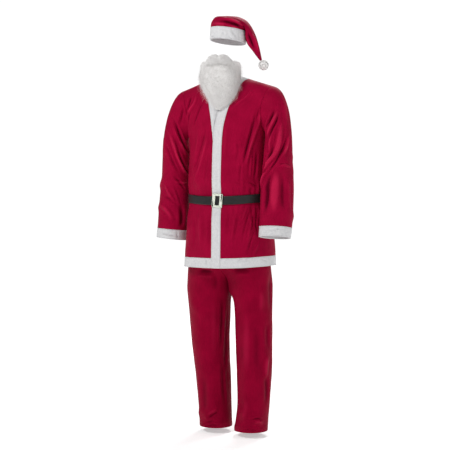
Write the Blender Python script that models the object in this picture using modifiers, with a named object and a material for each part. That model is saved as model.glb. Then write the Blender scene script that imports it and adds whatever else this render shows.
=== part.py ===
"""Santa suit, filled out as if worn by nobody: hat, beard, belted jacket and trousers, in metres, +Z up.

Heights in the tables are above the wearer's floor. X runs to the wearer's left and -Y to the front.
The whole suit hangs from an empty, so that the world's origin is between the shoulders, at NECK_HEIGHT.
"""

import math
from collections import namedtuple

import bmesh
import bpy
from mathutils import Matrix, Vector

NECK_HEIGHT = 1.50
FELT = 0.002
FLEECE = 0.0035
TRIM = 0.003
SEAM = 0.00045  # from a seam's middle to each piece's mid-surface edge
WELD = 0.00001
QUARTER = math.pi / 2

RED = (0.30, 0.007, 0.030, 1)
WHITE = (0.72, 0.71, 0.71, 1)
BLACK = (0.022, 0.022, 0.022, 1)
SILVER = (0.70, 0.71, 0.64, 1)


# Curves and tables

def smooth_row(table, key):
    """The table's row at any value of its first column, on smooth curves through its rows."""
    key = min(max(key, table[0][0]), table[-1][0])
    last = len(table) - 1
    low = max(index for index in range(last) if table[index][0] <= key)
    before, start, end, after = (table[min(max(low + step, 0), last)] for step in (-1, 0, 1, 2))
    span = end[0] - start[0]
    share = (key - start[0]) / span
    values = []
    for b, s, e, a in zip(before, start, end, after):
        slope_in = (e - b) / (end[0] - before[0]) * span
        slope_out = (a - s) / (after[0] - start[0]) * span
        values.append(cubic(s, slope_in, e, slope_out, share))
    return type(start)(*values)


def cubic(start, start_pull, end, end_pull, share):
    """The Hermite curve from start to end that leaves and arrives along the two pulls."""
    square, cube = share**2, share**3
    return (
        start * (2 * cube - 3 * square + 1)
        + start_pull * (cube - 2 * square + share)
        + end * (3 * square - 2 * cube)
        + end_pull * (cube - square)
    )


def mix(first, second, share):
    return first * (1 - share) + second * share


def ease(low, high, value):
    """0 below low, 1 above high, and a smooth step between."""
    share = min(max((value - low) / (high - low), 0), 1)
    return share * share * (3 - 2 * share)


def step_along(stops, share):
    """The value a share of the way through a list of stops, straight from each to the next."""
    place = share * (len(stops) - 1)
    low = min(int(place), len(stops) - 2)
    return mix(stops[low], stops[low + 1], place - low)


Fold = namedtuple("Fold", "start_a start_b end_a end_b width rise")


def fold_rise(folds, a, b):
    """How far the listed ridges and troughs move the cloth out at the place (a, b) of a piece."""
    total = 0
    place = Vector((a, b))
    for fold in folds:
        start = Vector((fold.start_a, fold.start_b))
        run = Vector((fold.end_a, fold.end_b)) - start
        share = min(max((place - start).dot(run) / run.length_squared, 0), 1)
        away = (place - start - run * share).length / fold.width
        total += fold.rise * math.exp(-away * away)
    return total


# Building

def clear_scene():
    for old in list(bpy.data.objects):
        bpy.data.objects.remove(old)


def new_material(name, colour, roughness):
    material = bpy.data.materials.new(name)
    material.use_nodes = True
    shader = material.node_tree.nodes["Principled BSDF"]
    shader.inputs["Base Color"].default_value = colour
    shader.inputs["Roughness"].default_value = roughness
    shader.inputs["Metallic"].default_value = 0.0
    return material


def add_piece(name, bm, colour, roughness=0.9):
    """A named object of the suit, hung from the empty at the neck."""
    mesh = bpy.data.meshes.new(name)
    bm.to_mesh(mesh)
    bm.free()
    mesh.shade_smooth()
    piece = bpy.data.objects.new(name, mesh)
    piece.data.materials.append(new_material(name, colour, roughness))
    suit.objects.link(piece)
    piece.parent = neck
    return piece


def thicken(piece, thickness):
    wall = piece.modifiers.new("wall", "SOLIDIFY")
    wall.thickness = thickness
    wall.offset = 0
    return wall


def sheet(name, surface, across, up, thickness, colour, tube=False, roughness=0.9):
    """A cloth wall: a grid laid on surface(s, t), both from 0 to 1, and given its thickness."""
    bm = bmesh.new()
    bmesh.ops.create_grid(bm, x_segments=across, y_segments=up, size=0.5)
    for vert in bm.verts:
        vert.co = surface(vert.co.x + 0.5, vert.co.y + 0.5)
    if tube:
        bmesh.ops.remove_doubles(bm, verts=bm.verts, dist=WELD)
    piece = add_piece(name, bm, colour, roughness)
    thicken(piece, thickness)
    return piece


# The jacket's body: one row for each level, with the depths to front and back, and X of the body's middle
# and of the front strips

BodyRow = namedtuple("BodyRow", "height half_width front back middle strip")
BODY = (
    BodyRow(0.721, 0.203, 0.153, 0.150, 0.0070, 0.0160),
    BodyRow(0.780, 0.199, 0.150, 0.146, 0.0070, 0.0150),
    BodyRow(0.850, 0.194, 0.146, 0.141, 0.0065, 0.0140),
    BodyRow(0.930, 0.188, 0.136, 0.133, 0.0045, 0.0100),
    BodyRow(0.985, 0.177, 0.120, 0.119, 0.0020, 0.0050),
    BodyRow(1.035, 0.177, 0.118, 0.118, 0.0010, 0.0040),
    BodyRow(1.090, 0.180, 0.121, 0.121, 0.0000, 0.0035),
    BodyRow(1.160, 0.178, 0.117, 0.121, 0.0000, 0.0030),
    BodyRow(1.220, 0.175, 0.113, 0.123, 0.0000, 0.0030),
    BodyRow(1.285, 0.177, 0.112, 0.126, 0.0000, 0.0030),
)
HEM_HEIGHT = 0.721
HEM_BAND_TOP = 0.763
HEM_LIFT = 0.009  # the hem rises this far at the left side
CHEST_HEIGHT = 1.285
BODY_STOPS = (HEM_BAND_TOP, 0.800, 0.850, 0.900, 0.945, 0.985, 1.035, 1.070, 1.110, 1.160, 1.220, 1.252,
              CHEST_HEIGHT)
BODY_STEPS = len(BODY_STOPS) - 1
YOKE_STEPS = 8
YOKE_CLOSING = 1.4
FRONT_STEPS = 8
BACK_STEPS = 16

# The front edges: each is bound with a strip, and the two cross in a V above the chest
STRIP_HALF = 0.020
V_START = 1.220
V_AT_CHEST = 0.004
LAP = 0.0037  # the wearer's left edge lies this far over the right one
LAP_REACH = 0.060

# The shoulder seam, from the neck out to the armhole
NECK_X, NECK_TOP = 0.080, 1.529
SHOULDER_X, SHOULDER_TOP = 0.2175, 1.484
SHOULDER_Y = 0.004
SHOULDER_SLOPE = (NECK_TOP - SHOULDER_TOP) / (SHOULDER_X - NECK_X)

# Large folds: a is the way round from the middle of the front to the left, b the height, all in metres
BODY_ROUND = 0.165
JACKET_FOLDS = (
    Fold(-0.175, 1.390, -0.200, 1.310, 0.026, 0.007),
    Fold(-0.160, 1.260, -0.090, 1.080, 0.022, 0.005),
    Fold(0.120, 1.200, 0.100, 1.070, 0.022, 0.004),
    Fold(-0.120, 0.890, -0.140, 0.720, 0.030, 0.007),
    Fold(0.125, 0.890, 0.105, 0.720, 0.028, 0.006),
    Fold(0.325, 0.890, 0.335, 0.720, 0.030, 0.006),
    Fold(-0.325, 0.890, -0.335, 0.720, 0.030, 0.006),
    Fold(0.425, 0.890, 0.435, 0.720, 0.032, 0.007),
    Fold(-0.425, 0.890, -0.435, 0.720, 0.032, 0.007),
    Fold(0.380, 1.250, 0.450, 1.080, 0.026, 0.005),
    Fold(-0.390, 1.240, -0.450, 1.090, 0.026, 0.005),
)


def shoulder_top(x):
    return NECK_TOP - (abs(x) - NECK_X) * SHOULDER_SLOPE


def body_point(angle, height, out=0.0):
    """A point of the jacket below the armholes; angle 0 is the front and a quarter turn the left side."""
    row = smooth_row(BODY, height)
    out += fold_rise(JACKET_FOLDS, angle * BODY_ROUND, height)
    depth = row.front if math.cos(angle) > 0 else row.back
    lift = HEM_LIFT * max(math.sin(angle), 0) ** 2 * (1 - ease(HEM_HEIGHT, BELT_WAIST, height))
    return Vector((
        row.middle + (row.half_width + out) * math.sin(angle),
        -(depth + out) * math.cos(angle),
        height + lift,
    ))


def strip_line(side, height):
    """X of the middle of a front strip below the chest; side is 1 for the wearer's left."""
    spread = V_AT_CHEST * ease(V_START, 2 * CHEST_HEIGHT - V_START, height) * 2
    return smooth_row(BODY, height).strip + side * spread


def front_angle(x, height):
    row = smooth_row(BODY, height)
    return math.asin((x - row.middle) / row.half_width)


def lap_lift(side, beyond, share=0.0):
    """The left front lies over the right one; the lift fades past the strip and up the yoke."""
    if side < 0:
        return 0.0
    return LAP * (1 - ease(0, LAP_REACH, beyond)) * (1 - ease(0.50, 0.95, share))


def front_lower(side, x_from_strip, height):
    """A point of a front, this far out from the middle of its strip."""
    x = strip_line(side, height) + side * x_from_strip
    lift = lap_lift(side, x_from_strip - STRIP_HALF)
    return body_point(front_angle(x, height), height, lift)


def front_yoke(side, start, x_top, out, share):
    """Up from the chest to the shoulder seam: out is 0 at the strip and 1 at the armhole."""
    corner = max(out, 0) ** 3
    end = Vector((side * x_top, SHOULDER_Y - SEAM, shoulder_top(x_top)))
    leave = Vector((side * (0.018 * (1 - out) - 0.06 * corner), -0.24 * corner, 0.24 - 0.08 * corner))
    arrive = Vector((side * (0.06 + 0.04 * out), 0.22 - 0.02 * out, 0))
    return cubic(start, leave, end, arrive, share)


def jacket_level(share, first_stops):
    """Splits a share of a piece's length into (height, None) below the chest or (None, yoke share)."""
    steps = len(first_stops) - 1
    place = share * (steps + YOKE_STEPS)
    if place <= steps:
        return step_along(first_stops, place / steps), None
    return None, yoke_share((place - steps) / YOKE_STEPS)


def yoke_share(share):
    """Sets the yoke's rows closer together toward the shoulder seam."""
    return 1 - (1 - share) ** YOKE_CLOSING


def panel_angle(side, s, height):
    inner = front_angle(strip_line(side, height) + side * (STRIP_HALF + SEAM), height)
    outer = side * (QUARTER - SEAM / smooth_row(BODY, height).half_width)
    return mix(inner, outer, s)


def panel_lower(side, s, height):
    angle = panel_angle(side, s, height)
    row = smooth_row(BODY, height)
    beyond = side * (row.middle + row.half_width * math.sin(angle) - strip_line(side, height)) - STRIP_HALF
    return body_point(angle, height, lap_lift(side, beyond))


def panel_yoke(side, s, share):
    start = panel_lower(side, s, CHEST_HEIGHT)
    x_top = mix(NECK_X + STRIP_HALF + SEAM, SHOULDER_X, s)
    start.y += lap_lift(side, s * 0.14)
    point = front_yoke(side, start, x_top, s, share)
    point.y -= lap_lift(side, s * 0.14, share)
    return point


def front_panel(side):
    def surface(s, t):
        height, share = jacket_level(t, BODY_STOPS)
        return panel_lower(side, s, height) if share is None else panel_yoke(side, s, share)
    return surface


def hem_front(side):
    def surface(s, t):
        return panel_lower(side, s, mix(HEM_HEIGHT, HEM_BAND_TOP - 2 * SEAM, t))
    return surface


STRIP_STOPS = (HEM_HEIGHT, 0.742) + BODY_STOPS


def front_strip(side):
    def surface(s, t):
        height, share = jacket_level(t, STRIP_STOPS)
        from_middle = mix(-STRIP_HALF, STRIP_HALF - SEAM, s)
        if share is None:
            return front_lower(side, from_middle, height)
        start = front_lower(side, from_middle, CHEST_HEIGHT)
        lift = lap_lift(side, 0)
        start.y += lift
        point = front_yoke(side, start, NECK_X + from_middle, 0, share)
        point.y -= lap_lift(side, 0, share)
        return point
    return surface


# The back, with its neckline along the outer edge of the collar strip

COLLAR_INNER = Vector((NECK_X - STRIP_HALF, 0.042))
COLLAR_OUTER = Vector((NECK_X + STRIP_HALF, 0.080))
COLLAR_BACK_RISE = 0.004
COLLAR_INNER_RISE = 0.008


def neck_edge(size, turn, rise):
    """Round the back of the neck: turn is 0 at the back and a quarter turn at the left shoulder."""
    x = size.x * math.sin(turn)
    top = shoulder_top(size.x) + rise * math.cos(turn) ** 2
    return Vector((x, SHOULDER_Y + SEAM + size.y * math.cos(turn), top))


def back_top(q):
    """The back's upper edge, from the left shoulder point at q = 1 to the right one at -1."""
    if abs(q) <= 0.5:
        return neck_edge(COLLAR_OUTER + Vector((SEAM, 2 * SEAM)), q / 0.5 * QUARTER, COLLAR_BACK_RISE)
    x = mix(COLLAR_OUTER.x + SEAM, SHOULDER_X, (abs(q) - 0.5) / 0.5)
    return Vector((math.copysign(x, q), SHOULDER_Y + SEAM, shoulder_top(x)))


def back_angle(s, height):
    gap = SEAM / smooth_row(BODY, height).half_width
    return mix(QUARTER + gap, 3 * QUARTER - gap, s)


def back_panel(s, t):
    height, share = jacket_level(t, BODY_STOPS)
    if share is None:
        return back_lower(s, height)
    q = 1 - 2 * s
    corner = abs(q) ** 5
    start = back_lower(s, CHEST_HEIGHT)
    leave = Vector((math.copysign(-0.06 * corner, q), 0.03 + 0.21 * corner, 0.24 - 0.08 * corner))
    arrive = Vector((math.copysign(0.10 * corner, q), mix(-0.13, -0.20, corner), 0.02 * (1 - corner)))
    return cubic(start, leave, back_top(q), arrive, share)


def back_lower(s, height):
    angle = back_angle(s, height)
    return body_point(angle if angle <= math.pi else angle - 2 * math.pi, height)


def hem_back(s, t):
    return back_lower(s, mix(HEM_HEIGHT, HEM_BAND_TOP - 2 * SEAM, t))


def collar_strip(s, t):
    turn = mix(QUARTER, -QUARTER, s)
    inner = neck_edge(COLLAR_INNER, turn, COLLAR_INNER_RISE)
    outer = neck_edge(COLLAR_OUTER - Vector((SEAM, SEAM)), turn, COLLAR_BACK_RISE)
    return mix(inner, outer, t)


# Sleeves: rings below the armhole, with x measured outward from the suit's middle

SleeveRow = namedtuple("SleeveRow", "height x y half_width half_depth front_rise outer_rise")
SLEEVES = {
    1: (
        SleeveRow(0.845, 0.2530, -0.0880, 0.0642, 0.0655, 0.14, 0.00),
        SleeveRow(0.893, 0.2540, -0.0780, 0.0670, 0.0660, 0.13, 0.00),
        SleeveRow(1.016, 0.2490, -0.0500, 0.0685, 0.0680, 0.10, 0.00),
        SleeveRow(1.113, 0.2470, -0.0380, 0.0645, 0.0680, 0.05, 0.00),
        SleeveRow(1.210, 0.2410, -0.0180, 0.0574, 0.0680, 0.00, 0.00),
    ),
    -1: (
        SleeveRow(0.833, 0.2660, -0.0195, 0.0630, 0.0655, 0.03, 0.10),
        SleeveRow(0.885, 0.2640, -0.0100, 0.0655, 0.0670, 0.03, 0.08),
        SleeveRow(1.016, 0.2616, 0.0080, 0.0670, 0.0680, 0.02, 0.04),
        SleeveRow(1.113, 0.2571, 0.0120, 0.0620, 0.0670, 0.00, 0.02),
        SleeveRow(1.210, 0.2516, 0.0060, 0.0610, 0.0670, 0.00, 0.00),
    ),
}
SLEEVE_ROUND = 2 * YOKE_STEPS
SLEEVE_TOP_STEPS = 5
SLEEVE_RINGS = 9
SLEEVE_TOP_RING = 1.210
ARMPIT_GAP = 0.0032
CUFF_BOTTOM = {1: 0.851, -1: 0.837}
CUFF_TOP = {1: 0.893, -1: 0.879}

# a is the way round the sleeve in metres, from inside over the front; b is the height
SLEEVE_ROUND_SIZE = 0.063
SLEEVE_FOLDS = {
    1: (
        Fold(0.040, 1.310, 0.110, 1.235, 0.018, 0.006),
        Fold(0.165, 1.160, 0.075, 1.060, 0.018, 0.006),
        Fold(0.060, 1.180, 0.065, 1.120, 0.018, -0.006),
        Fold(0.290, 1.150, 0.340, 1.060, 0.020, 0.006),
        Fold(0.140, 0.970, 0.215, 0.940, 0.018, 0.004),
    ),
    -1: (
        Fold(0.060, 1.310, 0.125, 1.230, 0.018, 0.006),
        Fold(0.090, 1.120, 0.165, 1.070, 0.018, 0.006),
        Fold(0.075, 1.010, 0.150, 0.970, 0.018, 0.005),
        Fold(0.290, 1.160, 0.340, 1.070, 0.020, 0.006),
    ),
}


def armhole(side, s):
    """The armhole's edge: up the front from the armpit at s = 0, over the shoulder, and down the back."""
    if s <= 0.5:
        return panel_yoke(side, 1, yoke_share(2 * s))
    across = 0 if side > 0 else 1
    return back_panel(across, (BODY_STEPS + 2 * (1 - s) * YOKE_STEPS) / (BODY_STEPS + YOKE_STEPS))


def sleeve_ring(side, s, height):
    row = smooth_row(SLEEVES[side], height)
    turn = 2 * math.pi * s
    out = fold_rise(SLEEVE_FOLDS[side], turn * SLEEVE_ROUND_SIZE, height)
    outward = -(row.half_width + out) * math.cos(turn)
    forward = (row.half_depth + out) * math.sin(turn)
    rise = row.front_rise * forward + row.outer_rise * outward
    return Vector((side * (row.x + outward), row.y - forward, height + rise))


def sleeve(side):
    top_share = SLEEVE_TOP_STEPS / (SLEEVE_TOP_STEPS + SLEEVE_RINGS)

    def surface(s, t):
        down = 1 - t
        if down >= top_share:
            share = (down - top_share) / (1 - top_share)
            return sleeve_ring(side, s, mix(SLEEVE_TOP_RING, CUFF_TOP[side] + SEAM, share))
        upper = (1 - math.cos(2 * math.pi * s)) / 2
        forward = math.sin(2 * math.pi * s)
        corner = abs(forward)
        outward = side * (mix(0.09, 0.19, upper) + 0.05 * corner)
        leave = Vector((outward, -0.02 * forward, mix(-0.04, -0.07, upper) + 0.04 * corner))
        arrive = Vector((0, 0, mix(-0.08, -0.25, upper)))
        start = armhole(side, s)
        start += leave.normalized() * mix(ARMPIT_GAP, 2.5 * SEAM, upper)
        return cubic(start, leave, sleeve_ring(side, s, SLEEVE_TOP_RING), arrive, down / top_share)
    return surface


def cuff(side):
    def surface(s, t):
        return sleeve_ring(side, s, mix(CUFF_BOTTOM[side], CUFF_TOP[side] - SEAM, t))
    return surface


# The belt

BELT_WAIST = 0.985  # the widest level under the belt
BELT_SIDE_HEIGHT = 1.0155
BELT_FRONT_DROP = 0.012
BELT_WIDTH = 0.036
BELT_THICKNESS = 0.0022
BELT_CLEAR = 0.0040
BELT_OVER_STRIP = 0.0072
BELT_STEPS = 48


def belt(s, t):
    angle = 2 * math.pi * s - math.pi
    forward = math.cos(angle)
    height = BELT_SIDE_HEIGHT - BELT_FRONT_DROP * max(forward, 0) ** 2 + (t - 0.5) * BELT_WIDTH
    row = smooth_row(BODY, BELT_WAIST)
    from_front = abs(row.half_width * math.sin(angle)) if forward > 0 else 1
    out = mix(BELT_OVER_STRIP, BELT_CLEAR, ease(0.030, 0.095, from_front))
    depth = row.front if forward > 0 else row.back
    x = row.middle + (row.half_width + out) * math.sin(angle)
    return Vector((x, -(depth + out) * forward, height))


BUCKLE_WIDTH = 0.047
BUCKLE_HEIGHT = 0.058
BUCKLE_DEPTH = 0.0045
BUCKLE_BEVEL = 0.0015
WINDOW_WIDTH = 0.0205
WINDOW_HEIGHT = 0.041
BUCKLE_X = 0.011
BUCKLE_LEAN = math.radians(5)


def buckle():
    face = -belt(0.5, 0.5).y + BELT_THICKNESS / 2 + SEAM
    place = Vector((BUCKLE_X, -(face + BUCKLE_DEPTH / 2), belt(0.5, 0.5).z))
    lean = Matrix.Rotation(BUCKLE_LEAN, 4, "Y")
    outer = block("belt_buckle", (BUCKLE_WIDTH, BUCKLE_DEPTH, BUCKLE_HEIGHT), place, lean)
    window = block("buckle_window", (WINDOW_WIDTH, BUCKLE_DEPTH * 3, WINDOW_HEIGHT), place, lean)
    suit.objects.unlink(window)
    cutters.objects.link(window)
    window.hide_render = True
    window.display_type = "WIRE"
    cut = outer.modifiers.new("window", "BOOLEAN")
    cut.operation = "DIFFERENCE"
    cut.object = window
    edge = outer.modifiers.new("edges", "BEVEL")
    edge.width = BUCKLE_BEVEL
    edge.segments = 1


def block(name, size, place, turn):
    bm = bmesh.new()
    bmesh.ops.create_cube(bm, size=1)
    bmesh.ops.scale(bm, vec=Vector(size), verts=bm.verts)
    bmesh.ops.transform(bm, matrix=Matrix.Translation(place) @ turn, verts=bm.verts)
    return add_piece(name, bm, SILVER, 0.35)


# The trousers: each leg is one wrapped piece that opens above the crotch into half of the seat

CROTCH_HEIGHT = 0.622
LegRow = namedtuple("LegRow", "height x y outer inner depth")
LEGS = {
    1: (
        LegRow(0.025, 0.1050, 0.0080, 0.0700, 0.0700, 0.0705),
        LegRow(0.075, 0.1100, 0.0070, 0.0685, 0.0685, 0.0690),
        LegRow(0.150, 0.1180, 0.0050, 0.0690, 0.0690, 0.0700),
        LegRow(0.275, 0.1215, 0.0050, 0.0745, 0.0745, 0.0750),
        LegRow(0.405, 0.1200, 0.0060, 0.0780, 0.0770, 0.0790),
        LegRow(0.520, 0.1140, 0.0120, 0.0815, 0.0785, 0.0800),
        LegRow(0.580, 0.1075, 0.0150, 0.0860, 0.0800, 0.0840),
        LegRow(CROTCH_HEIGHT, 0.1040, 0.0180, 0.0885, 0.0976, 0.0900),
        LegRow(0.700, 0.1000, 0.0180, 0.0890, 0.0940, 0.1000),
    ),
    -1: (
        LegRow(0.025, 0.0730, 0.0325, 0.0700, 0.0700, 0.0700),
        LegRow(0.075, 0.0740, 0.0315, 0.0705, 0.0705, 0.0700),
        LegRow(0.150, 0.0770, 0.0290, 0.0735, 0.0720, 0.0730),
        LegRow(0.275, 0.0820, 0.0220, 0.0775, 0.0760, 0.0775),
        LegRow(0.405, 0.0920, 0.0180, 0.0825, 0.0820, 0.0830),
        LegRow(0.520, 0.0960, 0.0180, 0.0890, 0.0910, 0.0870),
        LegRow(0.580, 0.0975, 0.0180, 0.0945, 0.0950, 0.0900),
        LegRow(CROTCH_HEIGHT, 0.0985, 0.0180, 0.0975, 0.1021, 0.0920),
        LegRow(0.700, 0.1000, 0.0180, 0.0900, 0.1040, 0.1000),
    ),
}
SeatRow = namedtuple("SeatRow", "height half_width front back")
SEAT = (
    SeatRow(0.600, 0.192, 0.110, 0.125),
    SeatRow(0.700, 0.187, 0.118, 0.130),
    SeatRow(0.800, 0.180, 0.120, 0.128),
    SeatRow(0.900, 0.1745, 0.1170, 0.1210),
    SeatRow(0.985, 0.1741, 0.1171, 0.1161),
    SeatRow(1.050, 0.1600, 0.1000, 0.1020),
)
SEAT_X = 0.005
SEAT_WHOLE = 0.760
WAIST_HEIGHT = 1.020
LEG_ROUND = 20
LEG_STOPS = (
    0.025, 0.050, 0.075, 0.110, 0.170, 0.240, 0.320, 0.400, 0.480, 0.540, 0.580, 0.603,
    CROTCH_HEIGHT, 0.650, 0.682, 0.716, SEAT_WHOLE, 0.850, 0.940, WAIST_HEIGHT,
)
LEG_ROUND_SIZE = 0.080
LEG_FOLDS = {
    1: (
        Fold(0.095, 0.110, 0.190, 0.075, 0.020, 0.006),
        Fold(0.130, 0.065, 0.060, 0.040, 0.018, 0.005),
        Fold(0.320, 0.110, 0.400, 0.070, 0.020, 0.006),
        Fold(0.160, 0.560, 0.075, 0.460, 0.024, 0.005),
    ),
    -1: (
        Fold(0.095, 0.120, 0.185, 0.080, 0.020, 0.006),
        Fold(0.135, 0.075, 0.070, 0.050, 0.018, 0.005),
        Fold(0.320, 0.120, 0.400, 0.080, 0.020, 0.006),
        Fold(0.160, 0.560, 0.075, 0.480, 0.024, 0.005),
    ),
}


def leg_tube(side, turn, height):
    """A point of a leg below the crotch; turn is 0 inside, a quarter turn in front."""
    row = smooth_row(LEGS[side], height)
    out = fold_rise(LEG_FOLDS[side], turn * LEG_ROUND_SIZE, height)
    width = row.inner if math.cos(turn) > 0 else row.outer
    outward = -(width + out) * math.cos(turn)
    return Vector((side * (row.x + outward), row.y - (row.depth + out) * math.sin(turn), height))


def seat_half(side, s, height):
    """Half of the seat: s is 0 at the middle of the front and 1 at the middle of the back."""
    row = smooth_row(SEAT, height)
    angle = mix(0, math.pi, s)
    depth = row.front if s < 0.5 else row.back
    return Vector((SEAT_X + side * row.half_width * math.sin(angle), -depth * math.cos(angle), height))


def leg(side):
    def surface(s, t):
        height = step_along(LEG_STOPS, t)
        row = smooth_row(LEGS[side], height)
        gap = SEAM / row.depth
        tube = leg_tube(side, mix(gap, 2 * math.pi - gap, s), height)
        open_share = ease(CROTCH_HEIGHT, SEAT_WHOLE, height)
        point = mix(tube, seat_half(side, s, height), open_share)
        clearance = mix(0.0014, SEAM + 0.0001, ease(0.5, 1, open_share))
        inner = side * (point.x - SEAT_X)
        point.x = SEAT_X + side * max(inner, clearance)
        return point
    return surface


WAISTBAND_TOP = 1.050


def waistband(s, t):
    height = mix(WAIST_HEIGHT + 2 * SEAM, WAISTBAND_TOP, t)
    row = smooth_row(SEAT, height)
    angle = 2 * math.pi * s
    depth = row.front if math.cos(angle) > 0 else row.back
    return Vector((SEAT_X + row.half_width * math.sin(angle), -depth * math.cos(angle), height))


# The hat: rings from the band over the crown and down the tail, in the upright plane in which the tail
# falls. Each ring lies between its inner and outer point there, and is as deep as its depth each way.

HatRow = namedtuple("HatRow", "step outer_x outer_z inner_x inner_z depth")
HAT = (
    HatRow(0, -0.0735, 1.7485, 0.0735, 1.7308, 0.0835),
    HatRow(1, -0.0700, 1.7700, 0.0775, 1.7395, 0.0830),
    HatRow(2, -0.0525, 1.7920, 0.0825, 1.7440, 0.0800),
    HatRow(3, -0.0200, 1.7955, 0.0865, 1.7465, 0.0740),
    HatRow(4, 0.0190, 1.7950, 0.0895, 1.7420, 0.0650),
    HatRow(5, 0.0520, 1.7905, 0.0895, 1.7340, 0.0540),
    HatRow(6, 0.0810, 1.7755, 0.0850, 1.7215, 0.0450),
    HatRow(7, 0.1010, 1.7510, 0.0803, 1.7075, 0.0380),
    HatRow(8, 0.1160, 1.7205, 0.0800, 1.6900, 0.0320),
    HatRow(9, 0.1280, 1.6870, 0.0908, 1.6690, 0.0265),
    HatRow(10, 0.1370, 1.6540, 0.1075, 1.6480, 0.0205),
    HatRow(11, 0.1440, 1.6240, 0.1230, 1.6260, 0.0140),
    HatRow(12, 0.1485, 1.6030, 0.1400, 1.6040, 0.0070),
)
HAT_TURN = math.radians(13)
HAT_ROLL = 0.12
HAT_TILT = 0.02
HAT_ROUND = 18
BAND_TOP = 1.7394
BAND_HEIGHT = 0.052
BAND_WALL = 0.0045
POMPOM_X, POMPOM_Z, POMPOM_RADIUS = 0.1556, 1.5835, 0.0205


def hat_place(along, depth, height):
    """From the hat's own plane to the suit: along runs the way the tail falls."""
    return Vector((
        along * math.cos(HAT_TURN) - depth * math.sin(HAT_TURN),
        along * math.sin(HAT_TURN) + depth * math.cos(HAT_TURN),
        height,
    ))


def hat_crown(s, t):
    row = smooth_row(HAT, t * HAT[-1].step)
    turn = 2 * math.pi * s
    reach = (1 + math.cos(turn)) / 2
    along = mix(row.inner_x, row.outer_x, reach)
    height = mix(row.inner_z, row.outer_z, reach)
    depth = row.depth * math.sin(turn)
    height -= HAT_TILT * depth * max(0, 1 - t * 4)
    return hat_place(along, depth, height)


def hat_band(s, t):
    turn = 2 * math.pi * s
    along = -HAT[0].inner_x * math.cos(turn)
    depth = HAT[0].depth * math.sin(turn)
    spread = 1 + 0.02 * (1 - t)
    top = BAND_TOP - 2.5 * SEAM
    height = top - BAND_HEIGHT * (1 - t) - HAT_ROLL * along - HAT_TILT * depth
    return hat_place(along * spread, depth * spread, height)


def pompom():
    bm = bmesh.new()
    bmesh.ops.create_icosphere(bm, subdivisions=2, radius=POMPOM_RADIUS)
    place = hat_place(POMPOM_X, 0, POMPOM_Z)
    bmesh.ops.translate(bm, vec=place, verts=bm.verts)
    add_piece("hat_pompom", bm, WHITE)


# The beard and the moustache: padded fur pieces round an empty chin, turned a little to the wearer's left

BeardRow = namedtuple("BeardRow", "down height half_width front depth side_turn shift")
BEARD = (
    BeardRow(0.0, 1.590, 0.078, 0.080, 0.095, 1.55, 0.000),
    BeardRow(1.0, 1.562, 0.080, 0.084, 0.092, 1.60, 0.000),
    BeardRow(2.0, 1.530, 0.082, 0.086, 0.080, 1.50, 0.000),
    BeardRow(3.0, 1.4985, 0.078, 0.085, 0.058, 1.40, 0.001),
    BeardRow(4.0, 1.467, 0.066, 0.081, 0.036, 1.30, 0.004),
    BeardRow(5.0, 1.435, 0.045, 0.073, 0.017, 1.25, 0.006),
    BeardRow(6.0, 1.410, 0.024, 0.063, 0.008, 1.20, 0.003),
    BeardRow(7.0, 1.392, 0.009, 0.058, 0.004, 1.20, 0.000),
)
BEARD_X, BEARD_Y = -0.010, -0.0536
BEARD_TURN = math.radians(20)
BEARD_WALL = 0.024
BEARD_EDGE = 0.35


def beard_place(x, y, height):
    """From the beard's own axes to the suit."""
    return Vector((
        BEARD_X + x * math.cos(BEARD_TURN) - y * math.sin(BEARD_TURN),
        BEARD_Y + x * math.sin(BEARD_TURN) + y * math.cos(BEARD_TURN),
        height,
    ))


def beard_point(s, t):
    row = smooth_row(BEARD, BEARD[-1].down * (1 - t))
    turn = mix(-row.side_turn, row.side_turn, s)
    x = row.shift + row.half_width * math.sin(turn)
    y = -row.front + row.depth * (1 - math.cos(turn))
    return beard_place(x, y, row.height)


MoustacheRow = namedtuple("MoustacheRow", "across middle half")
MOUSTACHE = (
    MoustacheRow(0.0, 1.6000, 0.0085),
    MoustacheRow(0.3, 1.6000, 0.0130),
    MoustacheRow(0.65, 1.5970, 0.0115),
    MoustacheRow(0.85, 1.5915, 0.0085),
    MoustacheRow(1.0, 1.5850, 0.0040),
)
MOUSTACHE_HALF = 0.052
MOUSTACHE_STAND = 0.0141
MOUSTACHE_WALL = 0.014


def moustache_point(s, t):
    q = 2 * s - 1
    row = smooth_row(MOUSTACHE, abs(q))
    turn = q * MOUSTACHE_HALF / BEARD[0].half_width
    front = BEARD[0].front + MOUSTACHE_STAND
    x = MOUSTACHE_HALF * q
    y = -front + (BEARD[0].depth + MOUSTACHE_STAND) * (1 - math.cos(turn))
    return beard_place(x, y, row.middle + row.half * (2 * t - 1))


def padded(name, surface, across, up, thickness):
    """A padded piece: a sheet that is full in its middle and thin along its edges."""
    piece = sheet(name, surface, across, up, thickness, WHITE)
    fullness = piece.vertex_groups.new(name="fullness")
    columns = across + 1
    for index in range(columns * (up + 1)):
        s = (index % columns) / across
        t = (index // columns) / up
        fullness.add([index], math.sin(math.pi * s) ** 0.5 * math.sin(math.pi * t) ** 0.5, "REPLACE")
    wall = piece.modifiers["wall"]
    wall.vertex_group = fullness.name
    wall.thickness_vertex_group = BEARD_EDGE
    return piece


clear_scene()
suit = bpy.data.collections.new("santa_suit")
cutters = bpy.data.collections.new("cutters")
bpy.context.scene.collection.children.link(suit)
bpy.context.scene.collection.children.link(cutters)
neck = bpy.data.objects.new("neck", None)
neck.location.z = -NECK_HEIGHT
suit.objects.link(neck)

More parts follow.
